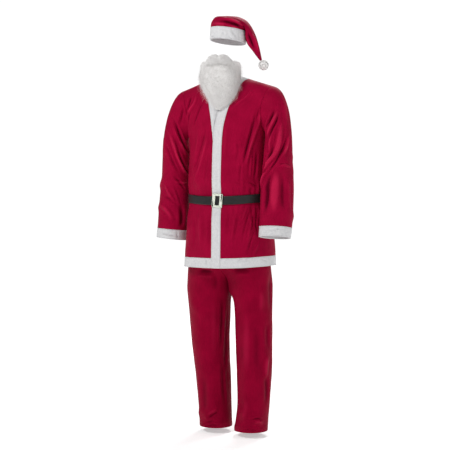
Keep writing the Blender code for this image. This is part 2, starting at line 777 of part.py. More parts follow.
for side, side_name in ((1, "left"), (-1, "right")):
    sheet(f"jacket_front_{side_name}", front_panel(side), FRONT_STEPS, BODY_STEPS + YOKE_STEPS, FELT, RED)
    sheet(f"hem_band_{side_name}", hem_front(side), FRONT_STEPS, 2, TRIM, WHITE)
    sheet(f"front_trim_{side_name}", front_strip(side), 2, BODY_STEPS + YOKE_STEPS + 2, TRIM, WHITE)
    sleeve_steps = SLEEVE_TOP_STEPS + SLEEVE_RINGS
    sheet(f"sleeve_{side_name}", sleeve(side), SLEEVE_ROUND, sleeve_steps, FELT, RED, tube=True)
    sheet(f"cuff_{side_name}", cuff(side), SLEEVE_ROUND, 2, FLEECE, WHITE, tube=True)
    sheet(f"trouser_leg_{side_name}", leg(side), LEG_ROUND, len(LEG_STOPS) - 1, FELT, RED)
sheet("jacket_back", back_panel, BACK_STEPS, BODY_STEPS + YOKE_STEPS, FELT, RED)
sheet("hem_band_back", hem_back, BACK_STEPS, 2, TRIM, WHITE)
sheet("collar_trim", collar_strip, BACK_STEPS // 2, 2, TRIM, WHITE)
sheet("belt_strap", belt, BELT_STEPS, 1, BELT_THICKNESS, BLACK, tube=True, roughness=0.4)
buckle()
sheet("trouser_waistband", waistband, LEG_ROUND, 1, FLEECE, RED, tube=True)
sheet("hat_crown", hat_crown, HAT_ROUND, HAT[-1].step, FELT, RED, tube=True)
sheet("hat_band", hat_band, HAT_ROUND, 2, BAND_WALL, WHITE, tube=True)
pompom()
padded("beard", beard_point, 14, 12, BEARD_WALL)
padded("moustache", moustache_point, 14, 4, MOUSTACHE_WALL)
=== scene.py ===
import math
from collections import namedtuple

import bmesh
import bpy
import numpy as np
from mathutils import Matrix, Vector, noise


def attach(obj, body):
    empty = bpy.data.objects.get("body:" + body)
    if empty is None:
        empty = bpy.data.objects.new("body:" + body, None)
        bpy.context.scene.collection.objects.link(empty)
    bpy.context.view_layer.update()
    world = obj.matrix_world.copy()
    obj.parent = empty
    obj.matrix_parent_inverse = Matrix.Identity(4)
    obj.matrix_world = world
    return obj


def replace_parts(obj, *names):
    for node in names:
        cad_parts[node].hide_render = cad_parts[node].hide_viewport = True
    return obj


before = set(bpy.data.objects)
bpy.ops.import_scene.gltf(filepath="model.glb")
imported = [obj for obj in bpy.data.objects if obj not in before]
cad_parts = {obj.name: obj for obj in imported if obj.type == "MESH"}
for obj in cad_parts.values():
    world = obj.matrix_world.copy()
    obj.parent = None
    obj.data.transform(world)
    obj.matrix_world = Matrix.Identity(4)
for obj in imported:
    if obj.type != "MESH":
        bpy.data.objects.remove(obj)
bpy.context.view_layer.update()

# The studio: a white floor that glows toward its far edge, a white sky, and soft lamps round the suit, the
# two brightest high in front and high behind. The suit hangs as it is worn, with its hems just off the floor.

NECK_HEIGHT = 1.50
FLOOR_SIZE = 30.0
FLOOR_GREY = 0.92
GLOW_START, GLOW_FULL = 1.7, 4.0  # metres from the middle
GLOW_LEAST = 0.45
SKY_LIGHT = 0.17
SKY_SEEN = 1.05


class Wire:
    """A value on its way through a material: sums on it add their own Math nodes."""

    def __init__(self, tree, socket=None):
        self.tree = tree
        self.socket = socket

    def node(self, kind, settings=(), feeds=(), output=0):
        made = self.tree.nodes.new(kind)
        for name, value in dict(settings).items():
            setattr(made, name, value)
        for name, value in dict(feeds).items():
            if isinstance(value, Wire):
                self.tree.links.new(value.socket, made.inputs[name])
            else:
                made.inputs[name].default_value = value
        return Wire(self.tree, made.outputs[output])

    def math(self, operation, first, second=0.0):
        return self.node("ShaderNodeMath", {"operation": operation}, {0: first, 1: second})

    def __add__(self, other):
        return self.math("ADD", self, other)

    def __radd__(self, other):
        return self.math("ADD", other, self)

    def __sub__(self, other):
        return self.math("SUBTRACT", self, other)

    def __rsub__(self, other):
        return self.math("SUBTRACT", other, self)

    def __mul__(self, other):
        return self.math("MULTIPLY", self, other)

    def __rmul__(self, other):
        return self.math("MULTIPLY", other, self)

    def within(self, low, high):
        """0 below low, 1 above high, and a smooth step between."""
        stops = {"Value": self, "From Min": low, "From Max": high}
        return self.node("ShaderNodeMapRange", {"interpolation_type": "SMOOTHSTEP"}, stops)


floor_bm = bmesh.new()
bmesh.ops.create_grid(floor_bm, x_segments=1, y_segments=1, size=FLOOR_SIZE / 2)
bmesh.ops.translate(floor_bm, vec=(0, 0, -NECK_HEIGHT), verts=floor_bm.verts)
floor_mesh = bpy.data.meshes.new("floor")
floor_bm.to_mesh(floor_mesh)
floor_bm.free()
floor = bpy.data.objects.new("floor", floor_mesh)
bpy.context.scene.collection.objects.link(floor)
floor_paint = bpy.data.materials.new("white_floor")
floor_paint.use_nodes = True
floor_shader = floor_paint.node_tree.nodes["Principled BSDF"]
floor_shader.inputs["Base Color"].default_value = (FLOOR_GREY, FLOOR_GREY, FLOOR_GREY, 1)
floor_shader.inputs["Roughness"].default_value = 0.9
floor_shader.inputs["Emission Strength"].default_value = 1.0
floor_wire = Wire(floor_paint.node_tree)
floor_place = floor_wire.node("ShaderNodeTexCoord", output="Object")
from_middle = floor_wire.node("ShaderNodeVectorMath", {"operation": "LENGTH"}, {0: floor_place}, "Value")
floor_glow = from_middle.within(GLOW_START, GLOW_FULL) * (1 - GLOW_LEAST) + GLOW_LEAST
floor_paint.node_tree.links.new(floor_glow.socket, floor_shader.inputs["Emission Color"])
floor.data.materials.append(floor_paint)

sky = bpy.data.worlds.new("white_sky")
sky.use_nodes = True
sky.node_tree.nodes["Background"].inputs["Color"].default_value = (1, 1, 1, 1)
sky.node_tree.nodes["Background"].inputs["Strength"].default_value = SKY_LIGHT
seen_sky = sky.node_tree.nodes.new("ShaderNodeBackground")
seen_sky.inputs["Color"].default_value = (1, 1, 1, 1)
seen_sky.inputs["Strength"].default_value = SKY_SEEN
seen = sky.node_tree.nodes.new("ShaderNodeLightPath")
either = sky.node_tree.nodes.new("ShaderNodeMixShader")
sky.node_tree.links.new(seen.outputs["Is Camera Ray"], either.inputs["Fac"])
sky.node_tree.links.new(sky.node_tree.nodes["Background"].outputs["Background"], either.inputs[1])
sky.node_tree.links.new(seen_sky.outputs["Background"], either.inputs[2])
sky.node_tree.links.new(either.outputs["Shader"], sky.node_tree.nodes["World Output"].inputs["Surface"])
bpy.context.scene.world = sky

VIEW_DISTANCE = 4.5
VIEW_TURN = math.radians(25)
VIEW_HEIGHT = -0.5
FRAME_PIXELS = 450
PIXEL_SIZE = 0.00431  # metres at the suit's middle
SENSOR = 36.0
SHIFT_PIXELS = (-3, -23.5)

camera = bpy.data.objects.new("camera", bpy.data.cameras.new("camera"))
bpy.context.scene.collection.objects.link(camera)
camera.location = (VIEW_DISTANCE * math.sin(VIEW_TURN), -VIEW_DISTANCE * math.cos(VIEW_TURN), VIEW_HEIGHT)
camera.rotation_euler = (math.pi / 2, 0, VIEW_TURN)
camera.data.sensor_width = SENSOR
camera.data.lens = SENSOR * VIEW_DISTANCE / (FRAME_PIXELS * PIXEL_SIZE)
camera.data.shift_x = SHIFT_PIXELS[0] / FRAME_PIXELS
camera.data.shift_y = SHIFT_PIXELS[1] / FRAME_PIXELS
bpy.context.scene.camera = camera
bpy.context.scene.view_settings.view_transform = "Standard"

# Each lamp stands this far round from the suit's front, toward its left, and looks at the jacket
Lamp = namedtuple("Lamp", "name degrees distance height size power")
for lamp in (
    Lamp("key", -22, 3.5, 2.3, 1.0, 104),
    Lamp("side", 88, 3.4, 1.0, 1.0, 18),
    Lamp("front", 40, 4.8, 0.8, 2.4, 27),
    Lamp("rim", 180, 2.6, 2.6, 2.0, 110),
):
    light = bpy.data.lights.new(lamp.name, "AREA")
    light.size = lamp.size
    light.energy = lamp.power
    holder = bpy.data.objects.new(lamp.name, light)
    bpy.context.scene.collection.objects.link(holder)
    around = math.radians(lamp.degrees)
    holder.location = (lamp.distance * math.sin(around), -lamp.distance * math.cos(around), lamp.height)
    toward = Vector((0, 0, VIEW_HEIGHT)) - holder.location
    holder.rotation_euler = toward.to_track_quat("-Z", "Y").to_euler()

# The jacket's fronts and back: red brushed felt about 2 mm thick, cut as two fronts and one back, sewn at the
# side seams and along the shoulders. The folds hang from the shoulders and gather where the belt pulls it in.

RED = (0.325, 0.0028, 0.0335)
DEEP_RED = (0.220, 0.0014, 0.0215)
# painted shade down in a crease, which is also the colour of the stitches
SHADE_AND_STITCH_RED = (0.070, 0.0005, 0.0075)
# a painted highlight along a ridge
RIDGE_HIGHLIGHT_RED = (0.520, 0.014, 0.066)
FELT = 0.002
SEAM = 0.00015  # from a seam's middle to each piece's edge
QUARTER = math.pi / 2
STITCH_PITCH = 0.0045


def new_material(name, roughness, sheen, sheen_colour, sheen_roughness, gloss=0.5):
    material = bpy.data.materials.new(name)
    material.use_nodes = True
    shader = material.node_tree.nodes["Principled BSDF"]
    shader.inputs["Roughness"].default_value = roughness
    shader.inputs["Specular IOR Level"].default_value = gloss
    shader.inputs["Sheen Weight"].default_value = sheen
    shader.inputs["Sheen Tint"].default_value = (*sheen_colour, 1)
    shader.inputs["Sheen Roughness"].default_value = sheen_roughness
    return material, shader, Wire(material.node_tree)


def blend(wire, share, first, second):
    """The colour that is first where share is 0 and second where it is 1; each is a colour or a Wire."""
    first, second = (end if isinstance(end, Wire) else (*end, 1) for end in (first, second))
    return wire.node("ShaderNodeMix", {"data_type": "RGBA"}, {"Factor": share, 6: first, 7: second}, 2)


def grain(wire, place, scale, detail=3.0, roughness=0.5):
    feeds = {"Vector": place, "Scale": scale, "Detail": detail, "Roughness": roughness}
    return wire.node("ShaderNodeTexNoise", (), feeds)


def finish_material(wire, shader, colour, roughness=None, height=None, strength=0.0, distance=0.0):
    wire.tree.links.new(colour.socket, shader.inputs["Base Color"])
    if roughness is not None:
        wire.tree.links.new(roughness.socket, shader.inputs["Roughness"])
    if height is not None:
        feeds = {"Height": height, "Strength": strength, "Distance": distance}
        wire.tree.links.new(wire.node("ShaderNodeBump", (), feeds).socket, shader.inputs["Normal"])


def cloth_place(wire, layer):
    """The two ways over a piece of cloth, in metres, that lay_sheet gives it."""
    both = wire.node("ShaderNodeSeparateXYZ", (), {0: wire.node("ShaderNodeUVMap", {"uv_map": layer})})
    return both, Wire(wire.tree, both.socket.node.outputs["Y"])


def stitches(wire, edge, along, row):
    """1 on the stitches of a row this far from an edge, and 0 beside them."""
    thread = 1 - wire.math("ABSOLUTE", edge - row).within(0.0004, 0.0009)
    return thread * wire.math("SINE", along * (2 * math.pi / STITCH_PITCH)).within(-0.3, 0.1)


def felt(name, deep, bright, nap=0.0016, hem=None):
    """Brushed felt: a short nap in soft patches, with painted shade down in a fold and a painted highlight
    along a ridge.
    """
    material, shader, wire = new_material(name, 0.55, 0.16, (1.0, 0.05, 0.12), 0.30, gloss=0.06)
    shader.inputs["Specular Tint"].default_value = (1.0, 0.10, 0.20, 1)
    place = wire.node("ShaderNodeTexCoord", output="Object")
    fibres = grain(wire, place, 1 / nap, 3.0, 0.7)
    stretch = wire.node("ShaderNodeMapping", (), {"Vector": place, "Scale": (1.0, 1.0, 0.22)})
    strokes = grain(wire, stretch, 230.0, 3.0, 0.6)
    patches = grain(wire, place, 16.0)
    fold = wire.node("ShaderNodeAttribute", {"attribute_name": "fold"}, output="Fac")
    tone = (fibres * 0.45 + strokes * 0.30 + patches * 0.45).within(0.35, 0.85)
    ground = blend(wire, tone, deep, bright)
    # painted shade down in each crease and a painted highlight along each ridge, from the crease depth in the
    # fold attribute
    shaded = blend(wire, (fold * -1.0).within(0.0, 1.25), ground, SHADE_AND_STITCH_RED)
    colour = blend(wire, fold.within(0.10, 1.0) * 0.55, shaded, RIDGE_HIGHLIGHT_RED)
    height = fibres * 0.6 + strokes * 0.5
    if hem:
        along, up = cloth_place(wire, "cloth")
        sewn = stitches(wire, up, along, hem)
        turned = 1 - up.within(hem, hem + 0.0025)
        colour = blend(wire, sewn * 0.6, colour, SHADE_AND_STITCH_RED)
        height = height + turned * 1.2 - sewn * 1.5
    finish_material(wire, shader, colour, 0.70 - strokes * 0.25, height, 0.45, 0.0005)
    return material


red_felt = felt("red_felt", DEEP_RED, RED)


def smooth_row(table, key):
    """The table's row at any value of its first column, on smooth curves through its rows."""
    key = min(max(key, table[0][0]), table[-1][0])
    last = len(table) - 1
    low = max(index for index in range(last) if table[index][0] <= key)
    before, start, end, after = (table[min(max(low + step, 0), last)] for step in (-1, 0, 1, 2))
    span = end[0] - start[0]
    share = (key - start[0]) / span
    values = []
    for b, s, e, a in zip(before, start, end, after):
        slope_in = (e - b) / (end[0] - before[0]) * span
        slope_out = (a - s) / (after[0] - start[0]) * span
        values.append(cubic(s, slope_in, e, slope_out, share))
    return type(start)(*values)


def cubic(start, start_pull, end, end_pull, share):
    """The curve from start to end that leaves and arrives along the two pulls."""
    square, cube = share**2, share**3
    return (
        start * (2 * cube - 3 * square + 1)
        + start_pull * (cube - 2 * square + share)
        + end * (3 * square - 2 * cube)
        + end_pull * (cube - square)
    )


def mix(first, second, share):
    return first * (1 - share) + second * share


def ease(low, high, value):
    share = min(max((value - low) / (high - low), 0), 1)
    return share * share * (3 - 2 * share)


def step_along(stops, share):
    place = share * (len(stops) - 1)
    low = min(int(place), len(stops) - 2)
    return mix(stops[low], stops[low + 1], place - low)


Fold = namedtuple("Fold", "start_a start_b end_a end_b width rise")


def fold_rise(folds, a, b):
    """How far the large folds move the cloth out at a place given by its way round and its height."""
    total = 0
    for fold in folds:
        run_a, run_b = fold.end_a - fold.start_a, fold.end_b - fold.start_b
        from_a, from_b = a - fold.start_a, b - fold.start_b
        share = min(max((from_a * run_a + from_b * run_b) / (run_a**2 + run_b**2), 0), 1)
        away = math.hypot(from_a - run_a * share, from_b - run_b * share) / fold.width
        if away < 4:
            total += fold.rise * math.exp(-away * away)
    return total


Crease = namedtuple("Crease", "points width rise")
CREASE_TAPER = 0.38  # the share of its length over which each end fades
CREASE_STEPS = 8
BANK_SHARE = 0.35  # beside a crease the cloth moves the other way, by this share of its rise
BANK_PLACE, BANK_WIDTH = 1.9, 0.8  # in the crease's widths
FOLD_DEPTH = 0.0075  # a crease deeper than this gets no more painted shade


def creases(*rows):
    """Each row is a width and a rise in tenths of a millimetre, then its points' x, y, z in millimetres."""
    return tuple(
        Crease(
            tuple(tuple(value / 1000 for value in row[start:start + 3]) for start in range(2, len(row), 3)),
            row[0] / 10000,
            row[1] / 10000,
        )
        for row in rows
    )


def crease_rise(lines, places):
    """How far small creases lift the cloth: each is a smooth line over it, fading out toward its ends."""
    total = np.zeros(len(places))
    for crease in lines:
        points = [Vector(point) for point in crease.points]
        line = []
        for index in range(len(points) - 1):
            before, start, end, after = (
                points[min(max(index + step, 0), len(points) - 1)] for step in (-1, 0, 1, 2)
            )
            for step in range(CREASE_STEPS):
                line.append(cubic(start, (end - before) / 2, end, (after - start) / 2, step / CREASE_STEPS))
        line.append(points[-1])
        line = np.array(line)
        nearest = np.full(len(places), 1e9)
        along = np.zeros(len(places))
        for index in range(len(line) - 1):
            run = line[index + 1] - line[index]
            share = np.clip((places - line[index]) @ run / max(run @ run, 1e-12), 0, 1)
            away = np.linalg.norm(places - line[index] - share[:, None] * run, axis=1)
            closer = away < nearest
            nearest[closer] = away[closer]
            along[closer] = (index + share[closer]) / (len(line) - 1)
        x = nearest / crease.width
        taper = np.clip(np.minimum(along, 1 - along) / CREASE_TAPER, 0, 1)
        taper = taper * taper * (3 - 2 * taper)
        bank = BANK_SHARE * np.exp(-((x - BANK_PLACE) / BANK_WIDTH) ** 2)
        total += crease.rise * taper * (np.exp(-x * x) - bank)
    return total


SAME_POINT = 0.00001
RIPPLES, FINE_RIPPLES = 13, 31  # small waves in the cloth, to the metre
FINE_SHARE = 0.3


def along_line(points):
    """The distance from the first point to each, along the line through them."""
    lengths = [(second - first).length for first, second in zip(points, points[1:])]
    return [0.0] + [float(total) for total in np.cumsum(lengths)]


def new_piece(name, bm, material):
    mesh = bpy.data.meshes.new(name)
    bm.to_mesh(mesh)
    bm.free()
    mesh.shade_smooth()
    mesh.materials.append(material)
    piece = bpy.data.objects.new(name, mesh)
    bpy.context.scene.collection.objects.link(piece)
    return piece


def add_wall(piece, thickness):
    wall = piece.modifiers.new("wall", "SOLIDIFY")
    wall.thickness = thickness
    wall.offset = 0
    return wall


def place_grid(bm, surface):
    """Moves a grid's points onto surface(s, t), and gives back each point's s and t."""
    shares = [(vert.co.x + 0.5, vert.co.y + 0.5) for vert in bm.verts]
    for vert, (s, t) in zip(bm.verts, shares):
        vert.co = surface(s, t)
        vert.co.z -= NECK_HEIGHT
    return shares


def face_outward(bm):
    bm.normal_update()
    centre = sum((vert.co for vert in bm.verts), Vector()) / len(bm.verts)
    if sum(face.normal.dot(face.calc_center_median() - centre) * face.calc_area() for face in bm.faces) < 0:
        bmesh.ops.reverse_faces(bm, faces=bm.faces)
        bm.normal_update()


Sheet = namedtuple("Sheet", "thickness material slot held ripple edge_fade", defaults=("hung", 0.0006, 0.012))


def lay_sheet(name, node, surface, across, up, kind, lines=(), tube=False):
    """A cloth piece: a fine grid laid on surface(s, t), creased, rippled a little, and given its thickness.

    It also measures its widest run and its longest rise along the finished cloth, and its area, which nothing
    reads.
    """
    bm = bmesh.new()
    bmesh.ops.create_grid(bm, x_segments=across, y_segments=up, size=0.5)
    cloth = bm.loops.layers.uv.new("cloth")
    rim = bm.loops.layers.uv.new("rim")
    folds = bm.verts.layers.float.new("fold")
    shares = place_grid(bm, surface)
    columns = across + 1
    bm.verts.ensure_lookup_table()
    bm.verts.index_update()
    run = along_line([bm.verts[(up // 2) * columns + i].co for i in range(columns)])
    rise = along_line([bm.verts[j * columns + across // 2].co for j in range(up + 1)])
    width, height = run[-1], rise[-1]
    for face in bm.faces:
        for loop in face.loops:
            u, v = run[loop.vert.index % columns], rise[loop.vert.index // columns]
            loop[cloth].uv = (u, v)
            loop[rim].uv = (u, min(v, height - v)) if width > height else (v, min(u, width - u))
    edges = np.array([
        min(min(s, 1 - s) * width if not tube else 1, min(t, 1 - t) * height) for s, t in shares
    ])
    face_outward(bm)
    places = np.array([vert.co for vert in bm.verts])
    normals = np.array([vert.normal for vert in bm.verts])
    if tube:
        # the two sides of the seam share one normal
        for j in range(up + 1):
            a, b = j * columns, j * columns + across
            if (bm.verts[a].co - bm.verts[b].co).length < SAME_POINT:
                normals[a] = normals[b] = normals[a] + normals[b]
        normals /= np.maximum(np.linalg.norm(normals, axis=1), 1e-9)[:, None]
    rises = crease_rise(lines, places)
    # each point keeps its crease depth, which the materials turn into painted shade in a valley and a painted
    # highlight on a ridge
    for vert, lifted in zip(bm.verts, rises):
        vert[folds] = min(max(lifted / FOLD_DEPTH, -1), 1)
    rises += kind.ripple * np.array([
        noise.noise(vert.co * RIPPLES) + FINE_SHARE * noise.noise(vert.co * FINE_RIPPLES) for vert in bm.verts
    ])
    fade = np.clip(edges / kind.edge_fade, 0, 1)
    moved = places + normals * (rises * fade * fade * (3 - 2 * fade))[:, None]
    for vert, place in zip(bm.verts, moved):
        vert.co = place
    grid = moved.reshape(up + 1, columns, 3)
    runs = [np.linalg.norm(np.diff(grid, axis=way), axis=2).sum(way) for way in (1, 0)]
    cut = tuple(round(float(lengths.max()), 3) for lengths in runs)
    area = round(min(sum(face.calc_area() for face in bm.faces), cut[0] * cut[1]), 5)
    if tube:
        bmesh.ops.remove_doubles(bm, verts=bm.verts, dist=SAME_POINT)
    piece = new_piece(name, bm, kind.material)
    add_wall(piece, kind.thickness)
    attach(piece, "root")
    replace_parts(piece, node)


# The body's shape: one row for each level, with the depths to front and back, and X of its middle and of the
# front strips

BodyRow = namedtuple("BodyRow", "height half_width front back middle strip")
BODY = (
    BodyRow(0.721, 0.203, 0.153, 0.150, 0.0070, 0.0160),
    BodyRow(0.780, 0.199, 0.150, 0.146, 0.0070, 0.0150),
    BodyRow(0.850, 0.194, 0.146, 0.141, 0.0065, 0.0140),
    BodyRow(0.930, 0.188, 0.136, 0.133, 0.0045, 0.0100),
    BodyRow(0.985, 0.177, 0.120, 0.119, 0.0020, 0.0050),
    BodyRow(1.035, 0.177, 0.118, 0.118, 0.0010, 0.0040),
    BodyRow(1.090, 0.180, 0.121, 0.121, 0.0000, 0.0035),
    BodyRow(1.160, 0.178, 0.117, 0.121, 0.0000, 0.0030),
    BodyRow(1.220, 0.175, 0.113, 0.123, 0.0000, 0.0030),
    BodyRow(1.285, 0.177, 0.112, 0.126, 0.0000, 0.0030),
)
HEM_HEIGHT = 0.721
HEM_BAND_TOP = 0.763
HEM_LIFT = 0.009  # the hem rises this far at the left side
CHEST_HEIGHT = 1.285
BODY_STOPS = (HEM_BAND_TOP, 0.800, 0.850, 0.900, 0.945, 0.985, 1.035, 1.070, 1.110, 1.160, 1.220, 1.252,
              CHEST_HEIGHT)
BODY_STEPS = len(BODY_STOPS) - 1
YOKE_STEPS = 8
YOKE_CLOSING = 1.4
YOKE_WIDTH = 0.14  # roughly, from a front strip out to the armhole

# The front edges: each is bound with a strip. The left strip lies over the right one, and they part in a V
# toward the neck.
STRIP_HALF = 0.020
V_START = 1.220
V_AT_CHEST = 0.004
LAP = 0.0037  # the wearer's left edge lies this far over the right one
LAP_REACH = 0.060

# The shoulder seam, from the neck out to the armhole
NECK_X, NECK_TOP = 0.080, 1.529
SHOULDER_X, SHOULDER_TOP = 0.2175, 1.484
SHOULDER_Y = 0.004
SHOULDER_SLOPE = (NECK_TOP - SHOULDER_TOP) / (SHOULDER_X - NECK_X)
BELT_WAIST = 0.985  # the widest level under the belt

# Large folds: a is the way round from the middle of the front to the left, b the height, all in metres
BODY_ROUND = 0.165
JACKET_FOLDS = (
    Fold(-0.175, 1.390, -0.200, 1.310, 0.026, 0.007),
    Fold(-0.160, 1.260, -0.090, 1.080, 0.022, 0.005),
    Fold(0.120, 1.200, 0.100, 1.070, 0.022, 0.004),
    Fold(-0.120, 0.890, -0.140, 0.720, 0.030, 0.007),
    Fold(0.125, 0.890, 0.105, 0.720, 0.028, 0.006),
    Fold(0.325, 0.890, 0.335, 0.720, 0.030, 0.006),
    Fold(-0.325, 0.890, -0.335, 0.720, 0.030, 0.006),
    Fold(0.425, 0.890, 0.435, 0.720, 0.032, 0.007),
    Fold(-0.425, 0.890, -0.435, 0.720, 0.032, 0.007),
    Fold(0.380, 1.250, 0.450, 1.080, 0.026, 0.005),
    Fold(-0.390, 1.240, -0.450, 1.090, 0.026, 0.005),
)


def shoulder_top(x):
    return NECK_TOP - (abs(x) - NECK_X) * SHOULDER_SLOPE


def body_point(angle, height, out=0.0):
    """A point of the jacket below the armholes; angle 0 is the front and a quarter turn the left side."""
    row = smooth_row(BODY, height)
    out += fold_rise(JACKET_FOLDS, angle * BODY_ROUND, height)
    depth = row.front if math.cos(angle) > 0 else row.back
    lift = HEM_LIFT * max(math.sin(angle), 0) ** 2 * (1 - ease(HEM_HEIGHT, BELT_WAIST, height))
    return Vector((
        row.middle + (row.half_width + out) * math.sin(angle),
        -(depth + out) * math.cos(angle),
        height + lift,
    ))


def strip_line(side, height):
    """X of the middle of a front strip below the chest; side is 1 for the wearer's left."""
    spread = V_AT_CHEST * ease(V_START, 2 * CHEST_HEIGHT - V_START, height) * 2
    return smooth_row(BODY, height).strip + side * spread


def front_angle(x, height):
    row = smooth_row(BODY, height)
    return math.asin((x - row.middle) / row.half_width)


def lap_lift(side, beyond, share=0.0):
    """The left front lies over the right one; the lift fades past the strip and up the yoke."""
    if side < 0:
        return 0.0
    return LAP * (1 - ease(0, LAP_REACH, beyond)) * (1 - ease(0.50, 0.95, share))


def front_lower(side, x_from_strip, height):
    """A point of a front, this far out from the middle of its strip."""
    x = strip_line(side, height) + side * x_from_strip
    lift = lap_lift(side, x_from_strip - STRIP_HALF)
    return body_point(front_angle(x, height), height, lift)


def front_yoke(side, start, x_top, out, share):
    """Up from the chest to the shoulder seam: out is 0 at the strip and 1 at the armhole."""
    corner = max(out, 0) ** 3
    end = Vector((side * x_top, SHOULDER_Y - SEAM, shoulder_top(x_top)))
    leave = Vector((side * (0.018 * (1 - out) - 0.06 * corner), -0.24 * corner, 0.24 - 0.08 * corner))
    arrive = Vector((side * (0.06 + 0.04 * out), 0.22 - 0.02 * out, 0))
    return cubic(start, leave, end, arrive, share)


def jacket_level(share, first_stops):
    """Splits a share of a piece's length into (height, None) below the chest or (None, yoke share)."""
    steps = len(first_stops) - 1
    place = share * (steps + YOKE_STEPS)
    if place <= steps:
        return step_along(first_stops, place / steps), None
    return None, yoke_share((place - steps) / YOKE_STEPS)


def yoke_share(share):
    """Sets the yoke's rows closer together toward the shoulder seam."""
    return 1 - (1 - share) ** YOKE_CLOSING


def panel_angle(side, s, height):
    inner = front_angle(strip_line(side, height) + side * (STRIP_HALF + SEAM), height)
    outer = side * (QUARTER - SEAM / smooth_row(BODY, height).half_width)
    return mix(inner, outer, s)


def panel_lower(side, s, height):
    angle = panel_angle(side, s, height)
    row = smooth_row(BODY, height)
    beyond = side * (row.middle + row.half_width * math.sin(angle) - strip_line(side, height)) - STRIP_HALF
    return body_point(angle, height, lap_lift(side, beyond))


def panel_yoke(side, s, share):
    start = panel_lower(side, s, CHEST_HEIGHT)
    x_top = mix(NECK_X + STRIP_HALF + SEAM, SHOULDER_X, s)
    start.y += lap_lift(side, s * YOKE_WIDTH)
    point = front_yoke(side, start, x_top, s, share)
    point.y -= lap_lift(side, s * YOKE_WIDTH, share)
    return point


def front_panel(side):
    def surface(s, t):
        height, share = jacket_level(t, BODY_STOPS)
        return panel_lower(side, s, height) if share is None else panel_yoke(side, s, share)
    return surface


# The back, with its neckline along the outer edge of the collar strip

COLLAR_INNER = Vector((NECK_X - STRIP_HALF, 0.042))
COLLAR_OUTER = Vector((NECK_X + STRIP_HALF, 0.080))
COLLAR_BACK_RISE = 0.004
COLLAR_INNER_RISE = 0.008


def neck_edge(size, turn, rise):
    """Round the back of the neck: turn is 0 at the back and a quarter turn at the left shoulder."""
    x = size.x * math.sin(turn)
    top = shoulder_top(size.x) + rise * math.cos(turn) ** 2
    return Vector((x, SHOULDER_Y + SEAM + size.y * math.cos(turn), top))


def back_top(q):
    """The back's upper edge, from the left shoulder point at q = 1 to the right one at -1."""
    if abs(q) <= 0.5:
        return neck_edge(COLLAR_OUTER + Vector((SEAM, 2 * SEAM)), q / 0.5 * QUARTER, COLLAR_BACK_RISE)
    x = mix(COLLAR_OUTER.x + SEAM, SHOULDER_X, (abs(q) - 0.5) / 0.5)
    return Vector((math.copysign(x, q), SHOULDER_Y + SEAM, shoulder_top(x)))


def back_angle(s, height):
    gap = SEAM / smooth_row(BODY, height).half_width
    return mix(QUARTER + gap, 3 * QUARTER - gap, s)


def back_panel(s, t):
    height, share = jacket_level(t, BODY_STOPS)
    if share is None:
        return back_lower(s, height)
    q = 1 - 2 * s
    corner = abs(q) ** 5
    start = back_lower(s, CHEST_HEIGHT)
    leave = Vector((math.copysign(-0.06 * corner, q), 0.03 + 0.21 * corner, 0.24 - 0.08 * corner))
    arrive = Vector((math.copysign(0.10 * corner, q), mix(-0.13, -0.20, corner), 0.02 * (1 - corner)))
    return cubic(start, leave, back_top(q), arrive, share)


def back_lower(s, height):
    angle = back_angle(s, height)
    return body_point(angle if angle <= math.pi else angle - 2 * math.pi, height)


